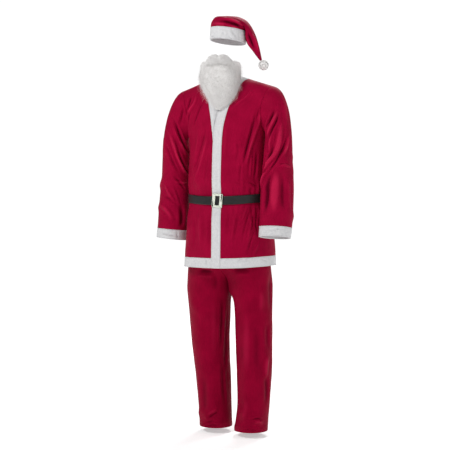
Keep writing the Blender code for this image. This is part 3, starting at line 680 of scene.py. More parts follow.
# Small creases, each a line of points over the cloth: drags from the shoulders, soft folds down the fronts
# and back, and short ones by the belt and the hem
JACKET_CREASES = {
    1: creases(
        (50, 35, 151, -35, -17, 119, -65, -56, 86, -85, -86, 59, -97, -111),
        (58, -59, 169, -56, -95, 151, -66, -167, 132, -75, -242, 120, -88, -310, 114, -96, -360),
        (65, 46, 178, -51, -92, 167, -50, -166, 145, -64, -242, 130, -81, -314, 125, -89, -368),
        (45, -39, 190, -40, -50, 175, -52, -108, 158, -60, -167),
        (50, 32, 188, -43, -56, 174, -52, -124, 166, -47, -191),
        (50, -28, 91, -97, -242, 92, -98, -289, 85, -104, -339),
        (50, -34, 109, -96, -326, 103, -101, -377, 103, -102, -431),
        (45, 27, 142, -67, -276, 141, -74, -347, 138, -78, -414),
        (55, -42, 158, -50, -284, 156, -57, -351, 151, -66, -422),
        (40, -25, 71, -113, -427, 95, -105, -423, 125, -89, -431),
        (40, -34, 131, -84, -414, 151, -66, -431, 166, -47, -439),
        (100, 27, 53, -104, -141, 39, -113, -242, 37, -119, -360),
        (42, 30, 131, -83, -515, 124, -99, -548, 114, -116, -590),
        (45, -36, 145, -73, -519, 137, -96, -565, 128, -117, -623, 119, -127, -693),
        (50, 30, 158, -60, -519, 151, -86, -569, 146, -106, -631, 138, -119, -697),
        (45, -39, 164, -64, -544, 165, -77, -590, 174, -76, -644),
        (48, -34, 164, -84, -615, 153, -103, -664, 142, -118, -722),
        (50, 27, 180, -69, -665, 169, -87, -698, 161, -100, -731),
        (60, 22, 89, -111, -531, 84, -130, -602, 75, -141, -689),
        (50, -22, 105, -106, -540, 96, -127, -610, 87, -137, -689),
        (50, -22, 64, -118, -527, 63, -135, -590, 62, -143, -664),
    ),
    -1: creases(
        (55, 68, -118, -52, -28, -125, -69, -72, -150, -66, -105, -172, -50, -142),
        (55, -70, -149, -49, -39, -159, -59, -78, -175, -53, -111),
        (48, -50, -68, -77, -58, -92, -85, -100, -111, -86, -143, -128, -80, -189),
        (68, -80, -150, -66, -105, -164, -58, -160, -165, -47, -225),
        (48, -42, -44, -106, -163, -63, -105, -222, -85, -100, -281, -105, -98, -340, -131, -84, -399),
        (68, 49, -33, -109, -185, -52, -108, -248, -72, -106, -315, -97, -105, -383, -133, -80, -442),
        (85, 30, -92, -96, -187, -103, -92, -259, -118, -92, -327),
        (50, -25, -37, -111, -282, -49, -115, -358, -59, -114, -439),
        (65, -34, -29, -122, -527, -19, -142, -620, -18, -149, -724),
        (95, 30, -79, -111, -528, -69, -132, -612, -65, -139, -704),
        (65, -20, -113, -100, -545, -96, -125, -621, -99, -129, -706),
    ),
    0: creases(
        (140, 46, 120, 85, -60, 85, 112, -130, 60, 122, -220),
        (140, 46, -120, 85, -65, -80, 112, -140, -52, 123, -230),
        (130, -46, 150, 70, -180, 125, 90, -280, 108, 98, -390),
        (130, -46, -150, 70, -190, -128, 88, -290, -112, 96, -400),
        (160, 35, 30, 122, -200, 22, 122, -300, 30, 120, -420),
        (120, -32, -70, 98, -30, 0, 98, -45, 70, 98, -30),
        (150, 46, 80, 120, -530, 90, 132, -610, 98, 136, -700),
        (150, -41, -90, 118, -530, -100, 128, -610, -110, 132, -700),
    ),
}

# Where the belt gathers the cloth: each little pleat runs this far above and below the belt's edges, from a
# start that the belt covers
LOW_START, LOW_EDGE = 1.000, 0.990
HIGH_START, HIGH_EDGE = 1.015, 1.020
Gather = namedtuple("Gather", "degrees above below width rise")
GATHERS = (
    Gather(-80, 0.075, 0.090, 0.0075, 0.0034),
    Gather(-62, 0.050, 0.070, 0.0065, -0.0030),
    Gather(-47, 0.090, 0.066, 0.0070, 0.0016),
    Gather(-30, 0.045, 0.048, 0.0060, -0.0012),
    Gather(26, 0.050, 0.054, 0.0060, -0.0013),
    Gather(38, 0.080, 0.036, 0.0065, 0.0015),
    Gather(52, 0.045, 0.100, 0.0065, -0.0030),
    Gather(66, 0.085, 0.120, 0.0070, 0.0034),
    Gather(80, 0.050, 0.080, 0.0065, -0.0030),
    Gather(104, 0.070, 0.100, 0.0075, 0.0036),
    Gather(122, 0.055, 0.085, 0.0070, -0.0034),
    Gather(138, 0.090, 0.110, 0.0075, 0.0036),
    Gather(155, 0.050, 0.080, 0.0070, -0.0032),
    Gather(172, 0.080, 0.120, 0.0075, 0.0034),
    Gather(190, 0.060, 0.080, 0.0070, -0.0034),
    Gather(207, 0.095, 0.100, 0.0075, 0.0036),
    Gather(224, 0.055, 0.110, 0.0070, -0.0034),
    Gather(243, 0.080, 0.090, 0.0075, 0.0036),
    Gather(258, 0.050, 0.080, 0.0070, -0.0030),
)


def gathers(low, high):
    """The pleats at the belt between two angles, as creases on the body."""
    found = []
    for pleat in GATHERS:
        if not low <= pleat.degrees <= high:
            continue
        angle = math.radians(pleat.degrees)
        for heights in (
            (LOW_START, LOW_EDGE - pleat.below / 2, LOW_EDGE - pleat.below),
            (HIGH_START, HIGH_EDGE + pleat.above / 2, HIGH_EDGE + pleat.above),
        ):
            points = [body_point(angle, height) for height in heights]
            line = tuple((point.x, point.y, point.z - NECK_HEIGHT) for point in points)
            found.append(Crease(line, pleat.width, pleat.rise))
    return tuple(found)


for side, side_name in ((1, "left"), (-1, "right")):
    pleats = gathers(0, 90) if side > 0 else gathers(-90, 0)
    lay_sheet(
        f"{side_name}_front", f"jacket_front_{side_name}", front_panel(side), 84, 230,
        Sheet(FELT, red_felt, "red_felt", ripple=0.0010),
        JACKET_CREASES[side] + pleats,
    )

lay_sheet(
    "back", "jacket_back", back_panel, 150, 230, Sheet(FELT, red_felt, "red_felt", ripple=0.0011),
    JACKET_CREASES[0] + gathers(90, 270),
)


# The white trim: folded fleece strips sewn over both front edges and round the back of the neck, the left
# one lapping over the right, and a deep band round the hem in three lengths that meet at the seams.

TRIM = 0.003
WHITE = (0.64, 0.635, 0.64)
SHADE_WHITE = (0.50, 0.50, 0.515)
# painted shade down in a crease, which is also the colour of the stitch rows
SHADE_AND_STITCH_WHITE = (0.22, 0.22, 0.24)
STITCH_ROW = 0.0035  # from a strip's edge


def fleece(name, low=SHADE_WHITE, high=WHITE, pile=0.0011, depth=0.0007, sewn=False):
    """White fleece: a short dense pile, with painted shade between the tufts and down in its creases."""
    material, shader, wire = new_material(name, 0.95, 0.22, (1, 1, 1), 0.6)
    place = wire.node("ShaderNodeTexCoord", output="Object")
    tufts = grain(wire, place, 1 / pile, 2.0, 0.6)
    clumps = grain(wire, place, 130.0, 3.0, 0.6)
    fold = wire.node("ShaderNodeAttribute", {"attribute_name": "fold"}, output="Fac")
    tone = (tufts * 0.6 + clumps * 0.5).within(0.35, 0.72)
    height = tufts * 0.5 + clumps * 0.9
    # painted shade down in the creases
    shade = (fold * -1.0).within(0.05, 0.6) * 0.55
    if sewn:
        along, edge = cloth_place(wire, "rim")
        row = stitches(wire, edge, along, STITCH_ROW)
        shade = shade + row * 0.35
        height = height - row * 1.5
    shaded = blend(wire, shade, blend(wire, tone, low, high), SHADE_AND_STITCH_WHITE)
    finish_material(wire, shader, shaded, None, height, 0.6, depth)
    return material


white_fleece = fleece("white_fleece", sewn=True)

STRIP_STOPS = (HEM_HEIGHT, 0.742) + BODY_STOPS


def front_strip(side):
    def surface(s, t):
        height, share = jacket_level(t, STRIP_STOPS)
        from_middle = mix(-STRIP_HALF, STRIP_HALF - SEAM, s)
        if share is None:
            return front_lower(side, from_middle, height)
        start = front_lower(side, from_middle, CHEST_HEIGHT)
        lift = lap_lift(side, 0)
        start.y += lift
        point = front_yoke(side, start, NECK_X + from_middle, 0, share)
        point.y -= lap_lift(side, 0, share)
        return point
    return surface


def hem_front(side):
    def surface(s, t):
        return panel_lower(side, s, mix(HEM_HEIGHT, HEM_BAND_TOP - 2 * SEAM, t))
    return surface


def hem_back(s, t):
    return back_lower(s, mix(HEM_HEIGHT, HEM_BAND_TOP - 2 * SEAM, t))


def collar_strip(s, t):
    turn = mix(QUARTER, -QUARTER, s)
    inner = neck_edge(COLLAR_INNER, turn, COLLAR_INNER_RISE)
    outer = neck_edge(COLLAR_OUTER - Vector((SEAM, SEAM)), turn, COLLAR_BACK_RISE)
    return mix(inner, outer, t)


# The right strip's first crease runs just under the left strip's edge; its painted shade stands in for the
# shadow of that edge.
STRIP_CREASES = {
    1: creases(
        (40, 18, 32, -98, -98, 19, -110, -149, 8, -117, -208, 4, -118, -283),
        (60, -14, 5, -121, -326, 7, -125, -410, 7, -123, -460),
        (50, 14, 6, -131, -536, 14, -148, -619, 17, -155, -711),
    ),
    -1: creases(
        (35, -40, -10, -86, -78, -3, -93, -105, -7, -105, -143, -13, -111, -190, -16, -113, -241),
        (45, 22, -23, -91, -87, -19, -104, -139, -19, -112, -198),
    ),
}
HEM_CREASES = {
    1: creases(
        (50, -26, 101, -138, -755, 116, -132, -743, 132, -126, -738),
        (45, 22, 117, -133, -759, 136, -125, -751, 152, -110, -747),
        (50, -22, 180, -79, -736, 194, -59, -745, 203, -39, -754),
        (45, -18, 52, -151, -743, 61, -150, -756, 65, -149, -768),
    ),
    -1: creases(
        (55, -28, -28, -148, -738, -32, -150, -754, -27, -151, -770),
        (50, 22, -58, -144, -742, -58, -145, -767),
        (50, -16, -104, -129, -744, -91, -134, -756, -85, -138, -773),
    ),
}

strip_cloth = Sheet(TRIM, white_fleece, "white_fleece", ripple=0.0008, edge_fade=0.003)
band_cloth = strip_cloth._replace(edge_fade=0.004)
for side, side_name in ((1, "left"), (-1, "right")):
    lay_sheet(
        f"{side_name}_front_strip", f"front_trim_{side_name}", front_strip(side), 14, 260, strip_cloth,
        STRIP_CREASES[side],
    )
    lay_sheet(
        f"{side_name}_hem_band", f"hem_band_{side_name}", hem_front(side), 72, 16, band_cloth,
        HEM_CREASES[side],
    )

lay_sheet("back_hem_band", "hem_band_back", hem_back, 130, 16, band_cloth)
lay_sheet("collar_strip", "collar_trim", collar_strip, 90, 14, band_cloth._replace(ripple=0.0006))


# The sleeves: one wrapped piece of felt each, sewn into the armhole and closed by a seam under the arm, with
# a deep fleece cuff at the wrist. They hang a little forward, bent softly at the elbow.

SleeveRow = namedtuple("SleeveRow", "height x y half_width half_depth front_rise outer_rise")
SLEEVES = {
    1: (
        SleeveRow(0.845, 0.2530, -0.0880, 0.0642, 0.0655, 0.14, 0.00),
        SleeveRow(0.893, 0.2540, -0.0780, 0.0670, 0.0660, 0.13, 0.00),
        SleeveRow(1.016, 0.2490, -0.0500, 0.0685, 0.0680, 0.10, 0.00),
        SleeveRow(1.113, 0.2470, -0.0380, 0.0645, 0.0680, 0.05, 0.00),
        SleeveRow(1.210, 0.2410, -0.0180, 0.0574, 0.0680, 0.00, 0.00),
    ),
    -1: (
        SleeveRow(0.833, 0.2660, -0.0195, 0.0630, 0.0655, 0.03, 0.10),
        SleeveRow(0.885, 0.2640, -0.0100, 0.0655, 0.0670, 0.03, 0.08),
        SleeveRow(1.016, 0.2616, 0.0080, 0.0670, 0.0680, 0.02, 0.04),
        SleeveRow(1.113, 0.2571, 0.0120, 0.0620, 0.0670, 0.00, 0.02),
        SleeveRow(1.210, 0.2516, 0.0060, 0.0610, 0.0670, 0.00, 0.00),
    ),
}
SLEEVE_TOP_STEPS = 5
SLEEVE_RINGS = 9
SLEEVE_TOP_RING = 1.210
ARMPIT_GAP = 0.0016
CUFF_BOTTOM = {1: 0.851, -1: 0.837}
CUFF_TOP = {1: 0.893, -1: 0.879}

# a is the way round the sleeve in metres, from inside over the front; b is the height
SLEEVE_ROUND_SIZE = 0.063
SLEEVE_FOLDS = {
    1: (
        Fold(0.040, 1.310, 0.110, 1.235, 0.018, 0.006),
        Fold(0.165, 1.160, 0.075, 1.060, 0.018, 0.006),
        Fold(0.060, 1.180, 0.065, 1.120, 0.018, -0.006),
        Fold(0.290, 1.150, 0.340, 1.060, 0.020, 0.006),
        Fold(0.140, 0.970, 0.215, 0.940, 0.018, 0.004),
    ),
    -1: (
        Fold(0.060, 1.310, 0.125, 1.230, 0.018, 0.006),
        Fold(0.090, 1.120, 0.165, 1.070, 0.018, 0.006),
        Fold(0.075, 1.010, 0.150, 0.970, 0.018, 0.005),
        Fold(0.290, 1.160, 0.340, 1.070, 0.020, 0.006),
    ),
}


def armhole(side, s):
    """The armhole's edge: up the front from the armpit at s = 0, over the shoulder, and down the back."""
    if s <= 0.5:
        return panel_yoke(side, 1, yoke_share(2 * s))
    across = 0 if side > 0 else 1
    return back_panel(across, (BODY_STEPS + 2 * (1 - s) * YOKE_STEPS) / (BODY_STEPS + YOKE_STEPS))


def sleeve_ring(side, s, height):
    row = smooth_row(SLEEVES[side], height)
    turn = 2 * math.pi * s
    out = fold_rise(SLEEVE_FOLDS[side], turn * SLEEVE_ROUND_SIZE, height)
    outward = -(row.half_width + out) * math.cos(turn)
    forward = (row.half_depth + out) * math.sin(turn)
    rise = row.front_rise * forward + row.outer_rise * outward
    return Vector((side * (row.x + outward), row.y - forward, height + rise))


def sleeve(side):
    top_share = SLEEVE_TOP_STEPS / (SLEEVE_TOP_STEPS + SLEEVE_RINGS)

    def surface(s, t):
        down = 1 - t
        if down >= top_share:
            share = (down - top_share) / (1 - top_share)
            return sleeve_ring(side, s, mix(SLEEVE_TOP_RING, CUFF_TOP[side] + SEAM, share))
        upper = (1 - math.cos(2 * math.pi * s)) / 2
        forward = math.sin(2 * math.pi * s)
        corner = abs(forward)
        outward = side * (mix(0.09, 0.19, upper) + 0.05 * corner)
        leave = Vector((outward, -0.02 * forward, mix(-0.04, -0.07, upper) + 0.04 * corner))
        arrive = Vector((0, 0, mix(-0.08, -0.25, upper)))
        start = armhole(side, s)
        start += leave.normalized() * mix(ARMPIT_GAP, 2.5 * SEAM, upper)
        return cubic(start, leave, sleeve_ring(side, s, SLEEVE_TOP_RING), arrive, down / top_share)
    return surface


def cuff(side):
    def surface(s, t):
        return sleeve_ring(side, s, mix(CUFF_BOTTOM[side], CUFF_TOP[side] - SEAM, t))
    return surface


FLEECE = 0.0035
SLEEVE_CREASES = {
    1: creases(
        (55, -101, 246, -55, -107, 229, -68, -153, 202, -57, -201, 192, -47, -260),
        (47, 68, 254, -53, -115, 243, -68, -157, 223, -74, -203, 206, -67, -244),
        (47, -75, 262, -50, -128, 252, -69, -170, 233, -77, -212, 220, -79, -253),
        (53, 59, 238, -80, -220, 230, -82, -258, 232, -86, -295),
        (79, 95, 271, -49, -144, 269, -67, -212, 261, -81, -271, 234, -91, -324, 194, -72, -373),
        (65, -116, 253, -83, -266, 238, -89, -304, 213, -83, -340, 187, -62, -373),
        (55, 81, 279, -58, -203, 271, -73, -262, 255, -88, -308, 225, -92, -345, 187, -65, -385),
        (48, -75, 290, -41, -215, 284, -61, -270, 268, -87, -321, 243, -102, -362, 208, -94, -403),
        (61, 61, 293, -26, -210, 292, -47, -265, 286, -75, -320),
        (63, 74, 227, -96, -361, 201, -88, -398, 185, -72, -452),
        (110, -90, 246, -108, -379, 230, -113, -440, 228, -119, -502, 223, -129, -560),
        (135, 85, 269, -101, -362, 265, -112, -453, 270, -134, -563),
        (89, -41, 292, -91, -395, 296, -100, -473, 305, -112, -555),
        (74, 35, 306, -70, -395, 313, -76, -477, 318, -90, -555),
        (44, 35, 272, -97, -354, 296, -79, -350, 308, -42, -357),
        (95, 43, 259, -10, -66, 276, -30, -127, 288, -37, -190),
        (126, 40, 292, 0, -300, 270, 22, -340, 240, 24, -370),
        (115, -38, 300, 0, -340, 278, 16, -385, 245, 18, -410),
        (138, 38, 280, 48, -160, 250, 56, -220, 215, 45, -270),
        (115, 32, 300, -20, -470, 275, 2, -510, 240, -2, -530),
    ),
    -1: creases(
        (60, -86, -246, -51, -118, -222, -58, -172, -206, -42, -223, -195, -17, -266, -192, 16, -304),
        (70, 71, -265, -53, -170, -241, -59, -232, -221, -51, -293, -204, -27, -354, -197, 25, -405),
        (58, -81, -224, -55, -254, -211, -43, -306, -199, -18, -353, -196, 25, -396),
        (60, 34, -217, -50, -228, -202, -32, -271, -192, -3, -309),
        (58, -48, -301, -18, -202, -261, -60, -275, -234, -55, -337, -211, -34, -384),
        (55, -50, -187, -52, -81, -195, -55, -124, -206, -52, -167),
        (42, 41, -235, -52, -411, -208, -29, -419, -196, 24, -418),
        (52, -46, -235, -53, -389, -214, -37, -419, -198, -11, -454),
        (60, 44, -283, -55, -415, -261, -59, -459, -229, -55, -498),
        (50, -29, -323, -18, -454, -259, -63, -485, -218, -47, -515),
        (85, 48, -307, -48, -502, -261, -68, -541, -229, -64, -593),
        (95, -77, -209, -37, -511, -205, -35, -568, -207, -42, -615),
        (52, 30, -244, -55, -428, -226, -51, -476, -212, -41, -524),
        (126, 40, -300, 40, -300, -275, 62, -345, -240, 66, -375),
        (115, -38, -305, 36, -340, -280, 60, -390, -245, 64, -415),
        (138, 38, -290, 60, -160, -255, 72, -220, -220, 60, -270),
        (115, 34, -315, 10, -470, -285, 46, -515, -245, 50, -540),
    ),
}
CUFF_CREASES = {
    1: creases(
        (40, -22, 213, -135, -625, 258, -149, -616, 296, -133, -612, 318, -101, -621),
        (35, 18, 227, -148, -637, 267, -149, -628, 308, -121, -629),
        (40, -18, 281, -141, -604, 289, -138, -620, 287, -143, -636),
    ),
    -1: creases(
        (40, -22, -292, -76, -633, -255, -81, -641, -219, -64, -650, -201, -24, -655),
        (35, 18, -279, -81, -646, -241, -80, -654, -214, -56, -659),
        (45, -22, -214, -56, -628, -216, -60, -646, -214, -56, -663),
    ),
}

for side, side_name in ((1, "left"), (-1, "right")):
    lay_sheet(
        f"{side_name}_sleeve", f"sleeve_{side_name}", sleeve(side), 160, 200,
        Sheet(FELT, red_felt, "red_felt", ripple=0.0010),
        SLEEVE_CREASES[side], tube=True,
    )
    lay_sheet(
        f"{side_name}_cuff", f"cuff_{side_name}", cuff(side), 128, 14,
        Sheet(FLEECE, white_fleece, "white_fleece", ripple=0.001, edge_fade=0.006),
        CUFF_CREASES[side], tube=True,
    )


# The belt: a band of black satin, 36 mm wide, that pulls the jacket in at the waist, and a pale rectangular
# buckle frame with the strap behind its window.

BELT_SIDE_HEIGHT = 1.0155
BELT_FRONT_DROP = 0.012
BELT_WIDTH = 0.036
BELT_THICKNESS = 0.0022
BELT_CLEAR = 0.0040
BELT_OVER_STRIP = 0.0072


def belt(s, t):
    angle = 2 * math.pi * s - math.pi
    forward = math.cos(angle)
    height = BELT_SIDE_HEIGHT - BELT_FRONT_DROP * max(forward, 0) ** 2 + (t - 0.5) * BELT_WIDTH
    row = smooth_row(BODY, BELT_WAIST)
    from_front = abs(row.half_width * math.sin(angle)) if forward > 0 else 1
    out = mix(BELT_OVER_STRIP, BELT_CLEAR, ease(0.030, 0.095, from_front))
    depth = row.front if forward > 0 else row.back
    return Vector((row.middle + (row.half_width + out) * math.sin(angle), -(depth + out) * forward, height))


BUCKLE_WIDTH = 0.047
BUCKLE_HEIGHT = 0.058
BUCKLE_DEPTH = 0.0045
WINDOW_WIDTH = 0.0205
WINDOW_HEIGHT = 0.041
FIRST_INSET = 0.001  # the window's edges, before they are moved to its size
CORNER_BEVEL, RIM_BEVEL = 0.0025, 0.0014
BUCKLE_X = 0.011
BUCKLE_LEAN = math.radians(5)

BLACK = (0.006, 0.006, 0.006)
GREY = (0.013, 0.013, 0.013)

black_satin, shader, wire = new_material("black_satin", 0.50, 0.08, (0.6, 0.6, 0.6), 0.4, gloss=0.30)
place = wire.node("ShaderNodeTexCoord", output="Object")
threads = wire.node("ShaderNodeMapping", (), {"Vector": place, "Scale": (0.25, 0.25, 1.0)})
weave = grain(wire, threads, 1400.0, 2.0)
slubs = grain(wire, threads, 120.0)
satin = blend(wire, (weave * 0.5 + slubs * 0.5).within(0.3, 0.7), BLACK, GREY)
finish_material(wire, shader, satin, 0.34 + slubs * 0.22, weave * 0.4 + slubs, 0.35, 0.0003)

lay_sheet(
    "strap", "belt_strap", belt, 240, 10,
    Sheet(BELT_THICKNESS, black_satin, "black_satin", "stretched", 0.0005, 0.004),
    tube=True,
)

PALE = (0.70, 0.745, 0.64)
SHADE = (0.60, 0.64, 0.54)

pale_buckle, shader, wire = new_material("pale_buckle", 0.3, 0.0, (1, 1, 1), 0.5)
place = wire.node("ShaderNodeTexCoord", output="Object")
cloud = grain(wire, place, 60.0)
pale = blend(wire, cloud.within(0.3, 0.7), SHADE, PALE)
finish_material(wire, shader, pale, 0.22 + cloud * 0.2, cloud, 0.1, 0.0005)

buckle_bm = bmesh.new()
bmesh.ops.create_cube(buckle_bm, size=1)
bmesh.ops.scale(buckle_bm, vec=(BUCKLE_WIDTH, BUCKLE_DEPTH, BUCKLE_HEIGHT), verts=buckle_bm.verts)
window_x, window_z = WINDOW_WIDTH / 2, WINDOW_HEIGHT / 2
faces = [face for face in buckle_bm.faces if abs(face.normal.y) > 0.5]
bmesh.ops.inset_region(buckle_bm, faces=faces, thickness=FIRST_INSET, use_even_offset=True)
inner = [face for face in faces if face.is_valid]
for face in inner:
    for vert in face.verts:
        vert.co.x = math.copysign(window_x, vert.co.x)
        vert.co.z = math.copysign(window_z, vert.co.z)
bmesh.ops.bridge_loops(buckle_bm, edges=[edge for face in inner for edge in face.edges])
bmesh.ops.delete(buckle_bm, geom=inner, context="FACES")
bmesh.ops.recalc_face_normals(buckle_bm, faces=buckle_bm.faces)
corners = [edge for edge in buckle_bm.edges if abs(edge.verts[0].co.y - edge.verts[1].co.y) > 0.001]
bmesh.ops.bevel(
    buckle_bm, geom=corners, offset=CORNER_BEVEL, segments=4, affect="EDGES", profile=0.5, material=-1
)
rims = [edge for edge in buckle_bm.edges if edge.calc_face_angle(0) > 1.0]
bmesh.ops.bevel(buckle_bm, geom=rims, offset=RIM_BEVEL, segments=3, affect="EDGES", profile=0.5, material=-1)
face_y = -belt(0.5, 0.5).y + BELT_THICKNESS / 2 + SEAM
buckle_place = Vector((BUCKLE_X, -(face_y + BUCKLE_DEPTH / 2), belt(0.5, 0.5).z - NECK_HEIGHT))
turn = Matrix.Translation(buckle_place) @ Matrix.Rotation(BUCKLE_LEAN, 4, "Y")
bmesh.ops.transform(buckle_bm, matrix=turn, verts=buckle_bm.verts)
buckle = new_piece("buckle", buckle_bm, pale_buckle)
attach(buckle, "root")
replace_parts(buckle, "belt_buckle")


# The trousers: each leg is one wrapped piece of felt with its seam on the inside, which opens above the
# crotch into half of the seat. The hems are turned up and stitched, and the waist is an elastic casing.

CROTCH_HEIGHT = 0.622
LegRow = namedtuple("LegRow", "height x y outer inner depth")
LEGS = {
    1: (
        LegRow(0.025, 0.1050, 0.0080, 0.0700, 0.0700, 0.0705),
        LegRow(0.075, 0.1100, 0.0070, 0.0685, 0.0685, 0.0690),
        LegRow(0.150, 0.1180, 0.0050, 0.0690, 0.0690, 0.0700),
        LegRow(0.275, 0.1215, 0.0050, 0.0745, 0.0745, 0.0750),
        LegRow(0.405, 0.1200, 0.0060, 0.0780, 0.0770, 0.0790),
        LegRow(0.520, 0.1140, 0.0120, 0.0815, 0.0785, 0.0800),
        LegRow(0.580, 0.1075, 0.0150, 0.0860, 0.0800, 0.0840),
        LegRow(CROTCH_HEIGHT, 0.1040, 0.0180, 0.0885, 0.0976, 0.0900),
        LegRow(0.700, 0.1000, 0.0180, 0.0890, 0.0940, 0.1000),
    ),
    -1: (
        LegRow(0.025, 0.0730, 0.0325, 0.0700, 0.0700, 0.0700),
        LegRow(0.075, 0.0740, 0.0315, 0.0705, 0.0705, 0.0700),
        LegRow(0.150, 0.0770, 0.0290, 0.0735, 0.0720, 0.0730),
        LegRow(0.275, 0.0820, 0.0220, 0.0775, 0.0760, 0.0775),
        LegRow(0.405, 0.0920, 0.0180, 0.0825, 0.0820, 0.0830),
        LegRow(0.520, 0.0960, 0.0180, 0.0890, 0.0910, 0.0870),
        LegRow(0.580, 0.0975, 0.0180, 0.0945, 0.0950, 0.0900),
        LegRow(CROTCH_HEIGHT, 0.0985, 0.0180, 0.0975, 0.1021, 0.0920),
        LegRow(0.700, 0.1000, 0.0180, 0.0900, 0.1040, 0.1000),
    ),
}
SeatRow = namedtuple("SeatRow", "height half_width front back")
SEAT = (
    SeatRow(0.600, 0.192, 0.110, 0.125),
    SeatRow(0.700, 0.187, 0.118, 0.130),
    SeatRow(0.800, 0.180, 0.120, 0.128),
    SeatRow(0.900, 0.1745, 0.1170, 0.1210),
    SeatRow(0.985, 0.1741, 0.1171, 0.1161),
    SeatRow(1.050, 0.1600, 0.1000, 0.1020),
)
SEAT_X = 0.005
SEAT_WHOLE = 0.760
WAIST_HEIGHT = 1.020
LEG_STOPS = (0.025, 0.050, 0.075, 0.110, 0.170, 0.240, 0.320, 0.400, 0.480, 0.540, 0.580, 0.603,
             CROTCH_HEIGHT, 0.650, 0.682, 0.716, SEAT_WHOLE, 0.850, 0.940, WAIST_HEIGHT)
INSEAM_GAP = 0.0009  # from the seat's middle plane to each leg, under the crotch
LEG_ROUND_SIZE = 0.080
LEG_FOLDS = {
    1: (
        Fold(0.095, 0.110, 0.190, 0.075, 0.020, 0.006),
        Fold(0.130, 0.065, 0.060, 0.040, 0.018, 0.005),
        Fold(0.320, 0.110, 0.400, 0.070, 0.020, 0.006),
        Fold(0.160, 0.560, 0.075, 0.460, 0.024, 0.005),
    ),
    -1: (
        Fold(0.095, 0.120, 0.185, 0.080, 0.020, 0.006),
        Fold(0.135, 0.075, 0.070, 0.050, 0.018, 0.005),
        Fold(0.320, 0.120, 0.400, 0.080, 0.020, 0.006),
        Fold(0.160, 0.560, 0.075, 0.480, 0.024, 0.005),
    ),
}


def leg_tube(side, turn, height):
    """A point of a leg below the crotch; turn is 0 inside, a quarter turn in front."""
    row = smooth_row(LEGS[side], height)
    out = fold_rise(LEG_FOLDS[side], turn * LEG_ROUND_SIZE, height)
    width = row.inner if math.cos(turn) > 0 else row.outer
    outward = -(width + out) * math.cos(turn)
    return Vector((side * (row.x + outward), row.y - (row.depth + out) * math.sin(turn), height))


def seat_half(side, s, height):
    """Half of the seat: s is 0 at the middle of the front and 1 at the middle of the back."""
    row = smooth_row(SEAT, height)
    angle = mix(0, math.pi, s)
    depth = row.front if s < 0.5 else row.back
    return Vector((SEAT_X + side * row.half_width * math.sin(angle), -depth * math.cos(angle), height))


def leg(side):
    def surface(s, t):
        height = step_along(LEG_STOPS, t)
        row = smooth_row(LEGS[side], height)
        gap = SEAM / row.depth
        tube = leg_tube(side, mix(gap, 2 * math.pi - gap, s), height)
        open_share = ease(CROTCH_HEIGHT, SEAT_WHOLE, height)
        point = mix(tube, seat_half(side, s, height), open_share)
        clearance = mix(INSEAM_GAP, SEAM + 0.0001, ease(0.15, 0.6, open_share))
        inner = side * (point.x - SEAT_X)
        point.x = SEAT_X + side * max(inner, clearance)
        return point
    return surface


WAISTBAND_TOP = 1.050
CASING = 0.0035


def waistband(s, t):
    height = mix(WAIST_HEIGHT + 2 * SEAM, WAISTBAND_TOP, t)
    row = smooth_row(SEAT, height)
    angle = 2 * math.pi * s
    depth = row.front if math.cos(angle) > 0 else row.back
    return Vector((SEAT_X + row.half_width * math.sin(angle), -depth * math.cos(angle), height))


TURNED_HEM = 0.027
TROUSER_RED = (0.270, 0.0016, 0.0245)
TROUSER_DEEP_RED = (0.180, 0.0009, 0.0160)
trouser_felt = felt("trouser_felt", TROUSER_DEEP_RED, TROUSER_RED, hem=TURNED_HEM)

